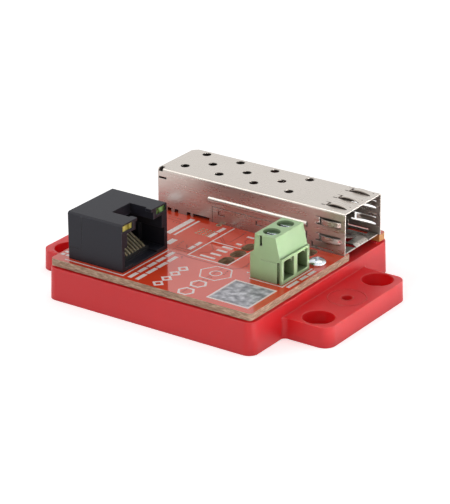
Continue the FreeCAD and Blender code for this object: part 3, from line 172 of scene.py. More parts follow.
def masked_laminate():
    """Glass-fibre laminate under a glossy red solder mask. Its cut edges show tan, sparkling cloth."""
    material, tree, place = start_material("masked_laminate")
    normal = add(tree, "ShaderNodeNewGeometry").outputs["Normal"]
    facing = add(tree, "ShaderNodeSeparateXYZ", {"Vector": normal})
    upright = add(tree, "ShaderNodeMath", {0: facing.outputs["Z"]}, operation="ABSOLUTE")
    on_face = add(tree, "ShaderNodeMath", {0: upright, 1: 0.5}, operation="GREATER_THAN")
    pour = add(tree, "ShaderNodeTexNoise", {"Vector": place, "Scale": per_metre(9.0), "Detail": 1.0})
    mask = add(tree, "ShaderNodeMix", {
        "Factor": pour.outputs["Fac"], "A": linear("#d93c22"), "B": linear("#e54d2e"),
    }, data_type="RGBA")
    layers = add(tree, "ShaderNodeMapping", {"Vector": place, "Scale": (1.0, 1.0, 7.0)})
    cloth = add(tree, "ShaderNodeTexNoise", {"Vector": layers, "Scale": per_metre(1.4), "Detail": 6.0})
    cut = add(tree, "ShaderNodeValToRGB", {"Fac": cloth.outputs["Fac"]})
    ramp_stops(cut, ((0.3, linear("#7c5a42")), (0.5, linear("#a9866b")), (0.68, linear("#cfb294"))))
    glints = add(tree, "ShaderNodeTexVoronoi", {"Vector": place, "Scale": per_metre(0.42)})
    glint = add(tree, "ShaderNodeMapRange", {
        "Value": glints.outputs["Distance"], "From Min": 0.16, "From Max": 0.08,
        "To Min": 0.0, "To Max": 0.7,
    })
    edge = add(tree, "ShaderNodeMix", {"Factor": glint, "A": cut, "B": linear("#f3e6d0")}, data_type="RGBA")
    # Light comes through the cloth at the board's outer corner, so its cut edges turn amber there
    spot = add(tree, "ShaderNodeSeparateXYZ", {"Vector": place})
    far_side = add(tree, "ShaderNodeMapRange", {
        "Value": spot.outputs["Y"], "From Min": 21.5 * MM, "From Max": 22.2 * MM,
        "To Min": 0.0, "To Max": 1.0,
    })
    far_end = add(tree, "ShaderNodeMapRange", {
        "Value": spot.outputs["X"], "From Min": 22.5 * MM, "From Max": 23.5 * MM,
        "To Min": 0.0, "To Max": 1.0,
    })
    corner = add(tree, "ShaderNodeMath", {0: far_side, 1: far_end}, operation="MULTIPLY")
    glow = add(tree, "ShaderNodeMath", {0: corner, 1: 0.75}, operation="MULTIPLY")
    edge = add(tree, "ShaderNodeMix", {"Factor": glow, "A": edge, "B": linear("#d98e3a")}, data_type="RGBA")
    colour = add(tree, "ShaderNodeMix", {"Factor": on_face, "A": edge, "B": mask}, data_type="RGBA")
    gloss = add(tree, "ShaderNodeMapRange", {"Value": on_face, "To Min": 0.6, "To Max": 0.07})
    ripple = add(tree, "ShaderNodeTexNoise", {"Vector": place, "Scale": per_metre(5.0), "Detail": 1.0})
    bump = add(tree, "ShaderNodeBump", {
        "Height": ripple.outputs["Fac"], "Strength": 0.03, "Distance": 0.05 * MM,
    })
    shader = add(tree, "ShaderNodeBsdfPrincipled", {
        "Base Color": colour, "Roughness": gloss, "Normal": bump, "IOR": 1.75,
    })
    return finish_material(material, tree, shader)


def nickel_plated_sheet():
    """Rolled spring sheet under satin nickel: soft reflections, drawn out along the rolling lines."""
    material, tree, place = start_material("nickel_plated_sheet")
    rounded = rounded_edge(tree, 0.08)
    rolled = add(tree, "ShaderNodeMapping", {"Vector": place, "Scale": (1.0, 9.0, 9.0)})
    lines = add(tree, "ShaderNodeTexNoise", {"Vector": rolled, "Scale": per_metre(5.0), "Detail": 4.0})
    cloud = add(tree, "ShaderNodeTexNoise", {"Vector": place, "Scale": per_metre(8.0), "Detail": 3.0})
    colour = add(tree, "ShaderNodeMix", {
        "Factor": cloud.outputs["Fac"], "A": linear("#cfc7be"), "B": linear("#d8d0c8"),
    }, data_type="RGBA")
    colour = shade_hollows(tree, colour, 11.0, "#1d1512", 0.9)
    gloss = add(tree, "ShaderNodeMapRange", {
        "Value": lines.outputs["Fac"], "From Min": 0.3, "From Max": 0.7, "To Min": 0.25, "To Max": 0.33,
    })
    bump = add(tree, "ShaderNodeBump", {
        "Height": cloud.outputs["Fac"], "Strength": 0.1, "Distance": 0.05 * MM, "Normal": rounded,
    })
    shader = add(tree, "ShaderNodeBsdfPrincipled", {
        "Base Color": colour, "Metallic": 0.74, "Roughness": gloss, "Normal": bump,
    })
    return finish_material(material, tree, shader)


def bright_zinc_plate():
    """Steel under bright zinc: a cool mirror with a faint grey bloom and fine scratches from the barrel."""
    material, tree, place = start_material("bright_zinc_plate")
    rounded = rounded_edge(tree, 0.1)
    bloom = add(tree, "ShaderNodeTexNoise", {"Vector": place, "Scale": per_metre(1.1), "Detail": 4.0})
    colour = add(tree, "ShaderNodeMix", {
        "Factor": bloom.outputs["Fac"], "A": linear("#c3ccd6"), "B": linear("#eef3f7"),
    }, data_type="RGBA")
    scratches = add(tree, "ShaderNodeTexVoronoi", {
        "Vector": place, "Scale": per_metre(0.5),
    }, feature="DISTANCE_TO_EDGE")
    gloss = add(tree, "ShaderNodeMapRange", {"Value": bloom.outputs["Fac"], "To Min": 0.06, "To Max": 0.2})
    bump = add(tree, "ShaderNodeBump", {
        "Height": scratches.outputs["Distance"], "Strength": 0.1, "Distance": 0.02 * MM, "Normal": rounded,
    })
    shader = add(tree, "ShaderNodeBsdfPrincipled", {
        "Base Color": colour, "Metallic": 1.0, "Roughness": gloss, "Normal": bump,
    })
    return finish_material(material, tree, shader)


def eroded_black_nylon():
    """Glass-filled nylon from a spark-eroded tool: near black and matt, with a painted highlight paling its
    edges.
    """
    material, tree, place = start_material("eroded_black_nylon")
    rounded = rounded_edge(tree, 0.18)
    edge_highlight = edge_highlight_mask(tree, rounded)
    grain = add(tree, "ShaderNodeTexNoise", {"Vector": place, "Scale": per_metre(0.3), "Detail": 3.0})
    body = add(tree, "ShaderNodeMix", {
        "Factor": grain.outputs["Fac"], "A": linear("#111119"), "B": linear("#1b1b27"),
    }, data_type="RGBA")
    # Painted highlight: the edges are paled towards a light grey
    pale = add(tree, "ShaderNodeMath", {0: edge_highlight, 1: 0.35}, operation="MULTIPLY")
    colour = add(tree, "ShaderNodeMix", {
        "Factor": pale, "A": body, "B": linear("#5a5a60"),
    }, data_type="RGBA")
    colour = shade_hollows(tree, colour, 8.0, "#060608")
    bump = add(tree, "ShaderNodeBump", {
        "Height": grain.outputs["Fac"], "Strength": 0.2, "Distance": 0.05 * MM, "Normal": rounded,
    })
    shader = add(tree, "ShaderNodeBsdfPrincipled", {
        "Base Color": colour, "Roughness": 0.52, "Normal": bump, "IOR": 1.42,
    })
    return finish_material(material, tree, shader)


def black_liquid_crystal_polymer():
    """Liquid-crystal polymer, as in fine connectors: black, with faint flow lines from the gate."""
    material, tree, place = start_material("black_liquid_crystal_polymer")
    drawn = add(tree, "ShaderNodeMapping", {"Vector": place, "Scale": (1.0, 5.0, 5.0)})
    flow = add(tree, "ShaderNodeTexNoise", {"Vector": drawn, "Scale": per_metre(1.8), "Detail": 4.0})
    colour = add(tree, "ShaderNodeMix", {
        "Factor": flow.outputs["Fac"], "A": linear("#17181a"), "B": linear("#27282b"),
    }, data_type="RGBA")
    gloss = add(tree, "ShaderNodeMapRange", {"Value": flow.outputs["Fac"], "To Min": 0.42, "To Max": 0.58})
    shader = add(tree, "ShaderNodeBsdfPrincipled", {"Base Color": colour, "Roughness": gloss, "IOR": 1.6})
    return finish_material(material, tree, shader)


def gold_flashed_bronze():
    """A thin gold flash over phosphor bronze: warm and bright, slightly dulled where it was bent."""
    material, tree, place = start_material("gold_flashed_bronze")
    dull = add(tree, "ShaderNodeTexNoise", {"Vector": place, "Scale": per_metre(0.9), "Detail": 3.0})
    colour = add(tree, "ShaderNodeMix", {
        "Factor": dull.outputs["Fac"], "A": linear("#dcc893"), "B": linear("#fbf3dc"),
    }, data_type="RGBA")
    gloss = add(tree, "ShaderNodeMapRange", {"Value": dull.outputs["Fac"], "To Min": 0.14, "To Max": 0.3})
    shader = add(tree, "ShaderNodeBsdfPrincipled", {
        "Base Color": colour, "Metallic": 0.65, "Roughness": gloss,
    })
    return finish_material(material, tree, shader)


def tinted_epoxy(name, deep, pale, haze):
    """Diffused epoxy of a lamp: a cloudy, glossy body whose tint runs from deep to pale in bands along y, the
    pale bands a painted highlight.
    """
    material, tree, place = start_material(name)
    spot = add(tree, "ShaderNodeSeparateXYZ", {"Vector": place})
    wave = add(tree, "ShaderNodeTexNoise", {"Vector": place, "Scale": per_metre(2.0), "Detail": 2.0})
    # Painted highlight: bands along y, shifted by noise, pale the deep tint towards the pale one
    stripe = add(tree, "ShaderNodeMath", {0: spot.outputs["Y"], 1: per_metre(1.3)}, operation="MULTIPLY")
    shifted = add(tree, "ShaderNodeMath", {0: stripe, 1: wave.outputs["Fac"]}, operation="ADD")
    painted_highlight_band = add(tree, "ShaderNodeMath", {0: shifted, 1: 1.0}, operation="PINGPONG")
    colour = add(tree, "ShaderNodeMix", {
        "Factor": painted_highlight_band, "A": linear(deep), "B": linear(pale),
    }, data_type="RGBA")
    shader = add(tree, "ShaderNodeBsdfPrincipled", {
        "Base Color": colour, "Roughness": 0.16, "IOR": 1.5,
        "Transmission Weight": haze, "Coat Weight": 0.4, "Coat Roughness": 0.05,
    })
    return finish_material(material, tree, shader)


def moulded_green_polyamide():
    """Natural polyamide tinted pale green: slightly waxy, its edges softened by rounded shading and paled by
    a painted highlight.
    """
    material, tree, place = start_material("moulded_green_polyamide")
    rounded = rounded_edge(tree, 0.22)
    edge_highlight = edge_highlight_mask(tree, rounded)
    cloud = add(tree, "ShaderNodeTexNoise", {"Vector": place, "Scale": per_metre(4.0), "Detail": 4.0})
    grain = add(tree, "ShaderNodeTexNoise", {"Vector": place, "Scale": per_metre(0.25), "Detail": 2.0})
    body = add(tree, "ShaderNodeMix", {
        "Factor": cloud.outputs["Fac"], "A": linear("#a6c792"), "B": linear("#aecf9b"),
    }, data_type="RGBA")
    # Painted highlight: the edges are paled towards a light green
    pale = add(tree, "ShaderNodeMath", {0: edge_highlight, 1: 0.6}, operation="MULTIPLY")
    colour = add(tree, "ShaderNodeMix", {
        "Factor": pale, "A": body, "B": linear("#dcefc8"),
    }, data_type="RGBA")
    colour = shade_hollows(tree, colour, 5.0, "#39461f")
    bump = add(tree, "ShaderNodeBump", {
        "Height": grain.outputs["Fac"], "Strength": 0.1, "Distance": 0.04 * MM, "Normal": rounded,
    })
    shader = add(tree, "ShaderNodeBsdfPrincipled", {
        "Base Color": colour, "Roughness": 0.42, "Normal": bump, "IOR": 1.53,
        "Subsurface Weight": 0.2, "Subsurface Radius": (0.4 * MM, 0.6 * MM, 0.3 * MM),
        "Subsurface Scale": 1.0,
    })
    return finish_material(material, tree, shader)


def white_epoxy_ink():
    """Screen-printed epoxy ink: off-white and matt, thin enough at the rims for the red mask to tint it."""
    material, tree, place = start_material("white_epoxy_ink")
    mesh_marks = add(tree, "ShaderNodeTexNoise", {"Vector": place, "Scale": per_metre(0.5), "Detail": 3.0})
    colour = add(tree, "ShaderNodeValToRGB", {"Fac": mesh_marks.outputs["Fac"]})
    ramp_stops(colour, ((0.25, linear("#e9b5ab")), (0.45, linear("#f0e2df")), (1.0, linear("#f7f1ef"))))
    shader = add(tree, "ShaderNodeBsdfPrincipled", {"Base Color": colour, "Roughness": 0.35, "IOR": 1.75})
    return finish_material(material, tree, shader)


def mottled_grey_label():
    """A plain label field: soft grey clouds on white paper."""
    material, tree, place = start_material("mottled_grey_label")
    cloud = add(tree, "ShaderNodeTexNoise", {"Vector": place, "Scale": per_metre(1.5), "Detail": 2.0})
    colour = add(tree, "ShaderNodeValToRGB", {"Fac": cloud.outputs["Fac"]})
    ramp_stops(colour, ((0.34, linear("#77777f")), (0.5, linear("#a9a8b0")), (0.66, linear("#d8d7de"))))
    shader = add(tree, "ShaderNodeBsdfPrincipled", {"Base Color": colour, "Roughness": 0.3, "IOR": 1.5})
    return finish_material(material, tree, shader)


def masked_copper():
    """Copper under the solder mask: the same gloss, a deeper red along each track."""
    material, tree, place = start_material("masked_copper")
    pour = add(tree, "ShaderNodeTexNoise", {"Vector": place, "Scale": per_metre(3.0), "Detail": 2.0})
    colour = add(tree, "ShaderNodeMix", {
        "Factor": pour.outputs["Fac"], "A": linear("#a92c1c"), "B": linear("#b83824"),
    }, data_type="RGBA")
    shader = add(tree, "ShaderNodeBsdfPrincipled", {"Base Color": colour, "Roughness": 0.1, "IOR": 1.5})
    return finish_material(material, tree, shader)


def hot_levelled_solder():
    """Solder levelled in hot air: dull warm silver, pooled unevenly on each land."""
    material, tree, place = start_material("hot_levelled_solder")
    pool = add(tree, "ShaderNodeTexNoise", {"Vector": place, "Scale": per_metre(0.4), "Detail": 2.0})
    colour = add(tree, "ShaderNodeMix", {
        "Factor": pool.outputs["Fac"], "A": linear("#b9a184"), "B": linear("#dccbb2"),
    }, data_type="RGBA")
    gloss = add(tree, "ShaderNodeMapRange", {"Value": pool.outputs["Fac"], "To Min": 0.22, "To Max": 0.5})
    bump = add(tree, "ShaderNodeBump", {
        "Height": pool.outputs["Fac"], "Strength": 0.4, "Distance": 0.05 * MM,
    })
    shader = add(tree, "ShaderNodeBsdfPrincipled", {
        "Base Color": colour, "Metallic": 1.0, "Roughness": gloss, "Normal": bump,
    })
    return finish_material(material, tree, shader)


def drilled_shadow():
    """The inside of a small drilled hole: dark red-brown laminate that little light reaches."""
    material, tree, place = start_material("drilled_shadow")
    depth = add(tree, "ShaderNodeTexNoise", {"Vector": place, "Scale": per_metre(0.2), "Detail": 1.0})
    colour = add(tree, "ShaderNodeMix", {
        "Factor": depth.outputs["Fac"], "A": linear("#4a1a14"), "B": linear("#6b2a20"),
    }, data_type="RGBA")
    shader = add(tree, "ShaderNodeBsdfPrincipled", {"Base Color": colour, "Roughness": 0.5, "IOR": 1.5})
    return finish_material(material, tree, shader)


def tinned_brass():
    """Brass under dull tin: soft grey, with a faint crystalline mottle."""
    material, tree, place = start_material("tinned_brass")
    crystals = add(tree, "ShaderNodeTexVoronoi", {"Vector": place, "Scale": per_metre(0.7)})
    colour = add(tree, "ShaderNodeMix", {
        "Factor": crystals.outputs["Distance"], "A": linear("#c9c8c1"), "B": linear("#a9a79c"),
    }, data_type="RGBA")
    gloss = add(tree, "ShaderNodeMapRange", {
        "Value": crystals.outputs["Distance"], "To Min": 0.26, "To Max": 0.42,
    })
    shader = add(tree, "ShaderNodeBsdfPrincipled", {
        "Base Color": colour, "Metallic": 1.0, "Roughness": gloss,
    })
    return finish_material(material, tree, shader)


def epoxy_moulding_compound():
    """Silica-filled epoxy of a chip package: charcoal, matt, with the fine grain of its filler."""
    material, tree, place = start_material("epoxy_moulding_compound")
    filler = add(tree, "ShaderNodeTexNoise", {"Vector": place, "Scale": per_metre(0.15), "Detail": 4.0})
    colour = add(tree, "ShaderNodeMix", {
        "Factor": filler.outputs["Fac"], "A": linear("#1d1e20"), "B": linear("#36373a"),
    }, data_type="RGBA")
    bump = add(tree, "ShaderNodeBump", {
        "Height": filler.outputs["Fac"], "Strength": 0.25, "Distance": 0.03 * MM,
    })
    shader = add(tree, "ShaderNodeBsdfPrincipled", {
        "Base Color": colour, "Roughness": 0.62, "Normal": bump, "IOR": 1.55,
    })
    return finish_material(material, tree, shader)


def fired_ceramic_chip():
    """Fired barium titanate: a smooth tan body with a fine, faint speckle."""
    material, tree, place = start_material("fired_ceramic_chip")
    speckle = add(tree, "ShaderNodeTexNoise", {"Vector": place, "Scale": per_metre(0.2), "Detail": 4.0})
    colour = add(tree, "ShaderNodeMix", {
        "Factor": speckle.outputs["Fac"], "A": linear("#9d8058"), "B": linear("#c4a77c"),
    }, data_type="RGBA")
    shader = add(tree, "ShaderNodeBsdfPrincipled", {"Base Color": colour, "Roughness": 0.38, "IOR": 2.0})
    return finish_material(material, tree, shader)


def pressed_ferrite():
    """Pressed and sintered ferrite: dark grey, with a dry, slightly sparkling grain."""
    material, tree, place = start_material("pressed_ferrite")
    grit = add(tree, "ShaderNodeTexVoronoi", {"Vector": place, "Scale": per_metre(0.18)})
    colour = add(tree, "ShaderNodeMix", {
        "Factor": grit.outputs["Distance"], "A": linear("#3a3a3d"), "B": linear("#56565a"),
    }, data_type="RGBA")
    bump = add(tree, "ShaderNodeBump", {
        "Height": grit.outputs["Distance"], "Strength": 0.3, "Distance": 0.04 * MM,
    })
    shader = add(tree, "ShaderNodeBsdfPrincipled", {
        "Base Color": colour, "Roughness": 0.55, "Normal": bump, "IOR": 2.2,
    })
    return finish_material(material, tree, shader)


FINISH_OF_SLOT = {
    "red_plastic": moulded_red_abs(),
    "solder_mask": masked_laminate(),
    "zinc_steel": bright_zinc_plate(),
    "nickel_sheet": nickel_plated_sheet(),
    "black_nylon": eroded_black_nylon(),
    "connector_black": black_liquid_crystal_polymer(),
    "gold_contact": gold_flashed_bronze(),
    "lamp_yellow": tinted_epoxy("diffused_yellow_epoxy", "#6b6208", "#e8df78", 0.05),
    "lamp_green": tinted_epoxy("diffused_green_epoxy", "#123f18", "#8fd07c", 0.05),
    "lamp_clear": tinted_epoxy("clear_epoxy", "#c9cdbf", "#eef0e6", 0.5),
    "terminal_green": moulded_green_polyamide(),
    "tinned_brass": tinned_brass(),
    "chip_black": epoxy_moulding_compound(),
    "ceramic_tan": fired_ceramic_chip(),
    "ferrite_grey": pressed_ferrite(),
}
INK = white_epoxy_ink()
LABEL = mottled_grey_label()
COPPER = masked_copper()
SOLDER = hot_levelled_solder()
# Painted shade, laid as flat dark discs in the holes of lands and vias
HOLE_SHADE = drilled_shadow()


# Carried-over solids
def dress_solids():
    """Gives each solid the finish that its material slot names."""
    for solid in nodes.values():
        for held in solid.material_slots:
            key = held.material.name.split(".")[0]
            held.material = FINISH_OF_SLOT[key]


# Shapes of ink, copper and solder on the board
def new_piece(name, finish, bm):
    """Turns built geometry into a piece that rides on the converter."""
    mesh = bpy.data.meshes.new(name)
    bmesh.ops.recalc_face_normals(bm, faces=bm.faces)
    bm.to_mesh(mesh)
    bm.free()
    mesh.materials.append(finish)
    piece = bpy.data.objects.new(name, mesh)
    bpy.context.scene.collection.objects.link(piece)
    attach(piece, BODY)
    return piece


def raise_ring(bm, outer, inner, low, high):
    """A closed band between two outlines of as many points each, in millimetres."""
    count = len(outer)
    rows = [[bm.verts.new((x * MM, y * MM, z * MM)) for x, y in line]
            for line, z in ((outer, low), (outer, high), (inner, high), (inner, low))]
    for step in range(count):
        after = (step + 1) % count
        for one, other in zip(rows, rows[1:] + rows[:1]):
            bm.faces.new((one[step], one[after], other[after], other[step]))


def raise_plate(bm, outline, low, high):
    """A flat plate with the given outline, in millimetres."""
    bottom = [bm.verts.new((x * MM, y * MM, low * MM)) for x, y in outline]
    top = [bm.verts.new((x * MM, y * MM, high * MM)) for x, y in outline]
    bm.faces.new(bottom)
    bm.faces.new(top)
    for step in range(len(outline)):
        after = (step + 1) % len(outline)
        bm.faces.new((bottom[step], bottom[after], top[after], top[step]))


def oblong(x, y, width, depth):
    """The four corners of a rectangle about a middle."""
    half_x, half_y = width / 2, depth / 2
    return [(x - half_x, y - half_y), (x + half_x, y - half_y),
            (x + half_x, y + half_y), (x - half_x, y + half_y)]


def disc(x, y, radius, count, start=0.0):
    """The corners of a regular outline about a middle: round where there are many of them."""
    turns = [start + 2 * math.pi * step / count for step in range(count)]
    return [(x + radius * math.cos(turn), y + radius * math.sin(turn)) for turn in turns]


def draw_line(bm, path, width, low, high):
    """A line of even width through the points, mitred at its corners."""
    sides = []
    for side in (1, -1):
        line = []
        for step, (x, y) in enumerate(path):
            before = path[max(step - 1, 0)]
            after = path[min(step + 1, len(path) - 1)]
            ahead = Vector(after) - Vector((x, y)) if after != (x, y) else Vector((x, y)) - Vector(before)
            behind = Vector((x, y)) - Vector(before) if before != (x, y) else ahead
            ahead, behind = ahead.normalized(), behind.normalized()
            along = (ahead + behind).normalized()
            across = Vector((-along.y, along.x))
            reach = width / 2 / max(across.dot(Vector((-behind.y, behind.x))), 0.3)
            line.append((x + side * reach * across.x, y + side * reach * across.y))
        sides.append(line)
    raise_plate(bm, sides[0] + sides[1][::-1], low, high)


# Heights over the part's foot: the board, and what lies on it
BOARD_TOP = 9.2
INK_TOP = BOARD_TOP + 0.03
LABEL_TOP = BOARD_TOP + 0.02
COPPER_TOP = BOARD_TOP + 0.012
SOLDER_TOP = BOARD_TOP + 0.025
LAND_HOLE_TOP = BOARD_TOP + 0.006
VIA_TOP = BOARD_TOP + 0.01

LABEL_MIDDLE = (18.45, -18.8)


def print_legend():
    """Frames and rows of plain bars, round the light holes and beside the jack and the terminal."""
    bm = bmesh.new()
    frame_line = 0.32
    frames = (
        ((-2.4, 8.9), (-2.4, -8.45), (7.8, -8.45), (7.8, 0.35)),
        ((-2.24, 0.4), (5.1, 0.4)),
        ((-22.6, -24.9), (-7.3, -24.9), (-7.3, -8.6)),
        ((15.2, -11.3), (23.4, -11.3), (23.4, 0.1)),
    )
    for path in frames:
        draw_line(bm, path, frame_line, BOARD_TOP, INK_TOP)
    # Each row runs along y: its x, where it starts and ends, how wide its bars are, and how many
    rows = (
        (-5.65, -24.9, -9.0, 0.95, 5), (-3.75, -24.9, -10.6, 0.95, 4), (-4.0, -5.9, -1.3, 0.9, 2),
        (-4.25, 1.9, 7.9, 0.9, 2), (24.5, -6.2, -0.6, 0.8, 2), (24.45, -10.9, -7.0, 0.8, 1),
        (2.4, -1.1, -0.3, 2.6, 1), (2.4, -3.2, -2.4, 2.6, 1), (2.4, -5.4, -4.6, 2.6, 1),
        (1.7, -7.4, -6.7, 3.8, 1), (3.4, 6.3, 7.0, 1.8, 1), (3.4, 1.9, 2.6, 1.4, 1),
    )
    between = 0.45
    for x, start, end, width, count in rows:
        length = (end - start - between * (count - 1)) / count
        for step in range(count):
            middle = start + length / 2 + step * (length + between)
            raise_plate(bm, oblong(x, middle, width, length), BOARD_TOP, INK_TOP)
    new_piece("board_legend", INK, bm)


def print_marks():
    """Plain diamonds, hexagons, bars and squares, printed on the open part of the board."""
    bm = bmesh.new()
    # Middle, outer radius, inner radius and corners: diamonds, two hexagons, and a hexagon round a ring
    outlines = [(1.1, y, 1.45, 0.75, 4) for y in (-24.0, -21.0, -18.0, -15.1)]
    outlines += [(8.2, y, 2.0, 1.45, 6) for y in (-19.6, -24.0)]
    outlines += [(8.1, -13.2, 3.9, 3.55, 6), (8.1, -13.2, 1.4, 1.1, 28)]
    for x, y, outer, inner, corners in outlines:
        raise_ring(bm, disc(x, y, outer, corners), disc(x, y, inner, corners), BOARD_TOP, INK_TOP)
    for bar in ((-12.9, 3.4, 1.3, 9.4), (-11.2, 3.4, 0.5, 9.4), (-9.6, -4.6, 1.5, 2.9)):
        raise_plate(bm, oblong(*bar), BOARD_TOP, INK_TOP)
    raise_ring(bm, oblong(*LABEL_MIDDLE, 10.4, 10.7), oblong(*LABEL_MIDDLE, 9.5, 9.8), BOARD_TOP, INK_TOP)
    raise_plate(bm, disc(13.4, -9.1, 0.45, 3, 0.6), BOARD_TOP, INK_TOP)
    for x, y in ((-24.6, -22.9), (-24.6, -21.5), (-23.3, -22.9), (-24.6, -19.4)):
        raise_plate(bm, oblong(x, y, 0.9, 0.8), BOARD_TOP, INK_TOP)
    new_piece("board_marks", INK, bm)


def lay_label():
    """The plain field inside the printed square."""
    bm = bmesh.new()
    raise_plate(bm, oblong(*LABEL_MIDDLE, 9.44, 9.74), BOARD_TOP, LABEL_TOP)
    new_piece("board_label_field", LABEL, bm)


def lay_tracks():
    """Tracks under the mask, which lift it by a hair."""
    bm = bmesh.new()
    # Each track: the points that it goes through, and its width
    tracks = (
        (((7.75, -8.8), (7.75, -25.2)), 0.26),
        (((-7.1, -6.35), (-2.8, -6.35)), 0.3),
        (((-7.1, -7.3), (-2.8, -7.3)), 0.3),
        (((-7.1, -9.0), (-3.6, -9.0), (-1.9, -9.4), (7.2, -9.4)), 0.3),
        (((-2.0, 3.6), (0.6, 1.0), (2.9, 1.0)), 0.2),
        (((-2.0, 2.9), (0.2, 0.75)), 0.2),
        (((-2.0, -0.5), (0.5, -3.2), (0.5, -4.8), (-0.9, -6.2)), 0.2),
        (((1.1, 7.6), (1.1, 2.0)), 0.25),
        (((3.4, 7.2), (3.4, 4.4), (4.4, 3.2)), 0.25),
        (((-18.5, 5.6), (-14.6, 5.6), (-13.9, 4.9)), 0.22),
        (((11.0, -3.0), (11.0, -8.0), (9.6, -9.4)), 0.25),
    )
    for path, width in tracks:
        draw_line(bm, path, width, BOARD_TOP, COPPER_TOP)
    new_piece("masked_tracks", COPPER, bm)


def lay_vias():
    """Solder lands in a grid and by the cage's foot, and small masked vias in rows. The holes of the lands
    and vias are flat dark discs of painted shade.
    """
    land_corners, via_corners = 20, 12
    via_radius = 0.17
    # Middle, outer radius and hole radius of each land: a grid of four by four, and a larger one
    spots = [(-7.95 + 0.96 * column, 5.0 - 0.9 * row, 0.3, 0.13)
             for column in range(4) for row in range(4)]
    spots.append((-6.3, 8.55, 0.68, 0.34))
    lands = bmesh.new()
    hole_shade = bmesh.new()
    for x, y, outer, hole in spots:
        rim, bore = disc(x, y, outer, land_corners), disc(x, y, hole, land_corners)
        raise_ring(lands, rim, bore, BOARD_TOP, SOLDER_TOP)
        # Painted shade: a flat dark disc lies in each land's hole
        raise_plate(hole_shade, disc(x, y, hole * 0.98, land_corners), BOARD_TOP, LAND_HOLE_TOP)
    new_piece("solder_lands", SOLDER, lands)
    # Each row of vias: its first place, the step to the next, and how many
    rows = (
        (-18.1, 6.7, 0.72, 0.0, 5), (-15.7, 4.7, 0.8, 0.0, 3), (-7.5, -3.1, 0.1, -0.8, 4),
        (-5.7, -4.3, 0.4, -0.55, 3), (9.2, -9.3, 0.15, -0.85, 5), (8.5, -15.4, 0.1, -0.85, 4),
        (-2.9, -9.9, 0.35, -0.6, 2), (10.9, -5.2, 0.25, -0.7, 3), (1.0, 8.2, -0.2, -0.7, 2),
        (-2.6, -3.0, -0.1, -1.9, 2), (0.9, -7.6, 0.0, -0.7, 1),
    )
    # Painted shade: the mouth of each via is a flat dark disc
    for x, y, step_x, step_y, count in rows:
        for step in range(count):
            mouth = disc(x + step_x * step, y + step_y * step, via_radius, via_corners)
            raise_plate(hole_shade, mouth, BOARD_TOP, VIA_TOP)
    new_piece("via_hole_shade", HOLE_SHADE, hole_shade)


def mill_light_slots():
    """Opens the round holes over the status lamps to short milled slots, right through the board."""
    half_width, straight = 1.42, 1.35
    under_board, over_board = 7.2, 9.7
    arc_steps = 32
    bm = bmesh.new()
    for x, y in ((6.1, 2.2), (6.1, -2.1), (6.1, -6.4), (18.3, 6.75)):
        outline = []
        for half_turn, side in ((0, 1), (1, -1)):
            for step in range(arc_steps + 1):
                turn = math.pi * (half_turn + step / arc_steps)
                outline.append((x + half_width * math.cos(turn),
                                y + side * straight / 2 + half_width * math.sin(turn)))
        raise_plate(bm, outline, under_board, over_board)
    bmesh.ops.recalc_face_normals(bm, faces=bm.faces)
    mesh = bpy.data.meshes.new("light_slots")
    bm.to_mesh(mesh)
    bm.free()
    milled = nodes["circuit_board"].modifiers.new("light_slots", "BOOLEAN")
    milled.operation = "DIFFERENCE"
    milled.solver = "EXACT"
    milled.object = bpy.data.objects.new("light_slots", mesh)


# Screws and ejector rings
def turned(bm, x, y, profile, count=40):
    """A shape turned about an upright line through x and y, from pairs of radius and height."""
    rows = []
    for radius, height in profile:
        if radius == 0:
            rows.append([bm.verts.new((x * MM, y * MM, height * MM))] * count)
            continue
        rows.append([bm.verts.new(((x + radius * math.cos(2 * math.pi * step / count)) * MM,
                                   (y + radius * math.sin(2 * math.pi * step / count)) * MM,
                                   height * MM)) for step in range(count)])
    for low, high in zip(rows, rows[1:]):
        for step in range(count):
            after = (step + 1) % count
            ring = []
            for vert in (low[step], low[after], high[after], high[step]):
                if vert not in ring:
                    ring.append(vert)
            bm.faces.new(ring)


def carve(piece, cutter):
    """Cuts one object out of another and keeps the result as plain geometry."""
    cut = piece.modifiers.new("cut", "BOOLEAN")
    cut.operation = "DIFFERENCE"
    cut.solver = "EXACT"
    cut.use_self = True
    cut.object = cutter
    graph = bpy.context.evaluated_depsgraph_get()
    carved = bpy.data.meshes.new_from_object(piece.evaluated_get(graph))
    piece.modifiers.clear()
    piece.data = carved
    bpy.data.objects.remove(cutter)


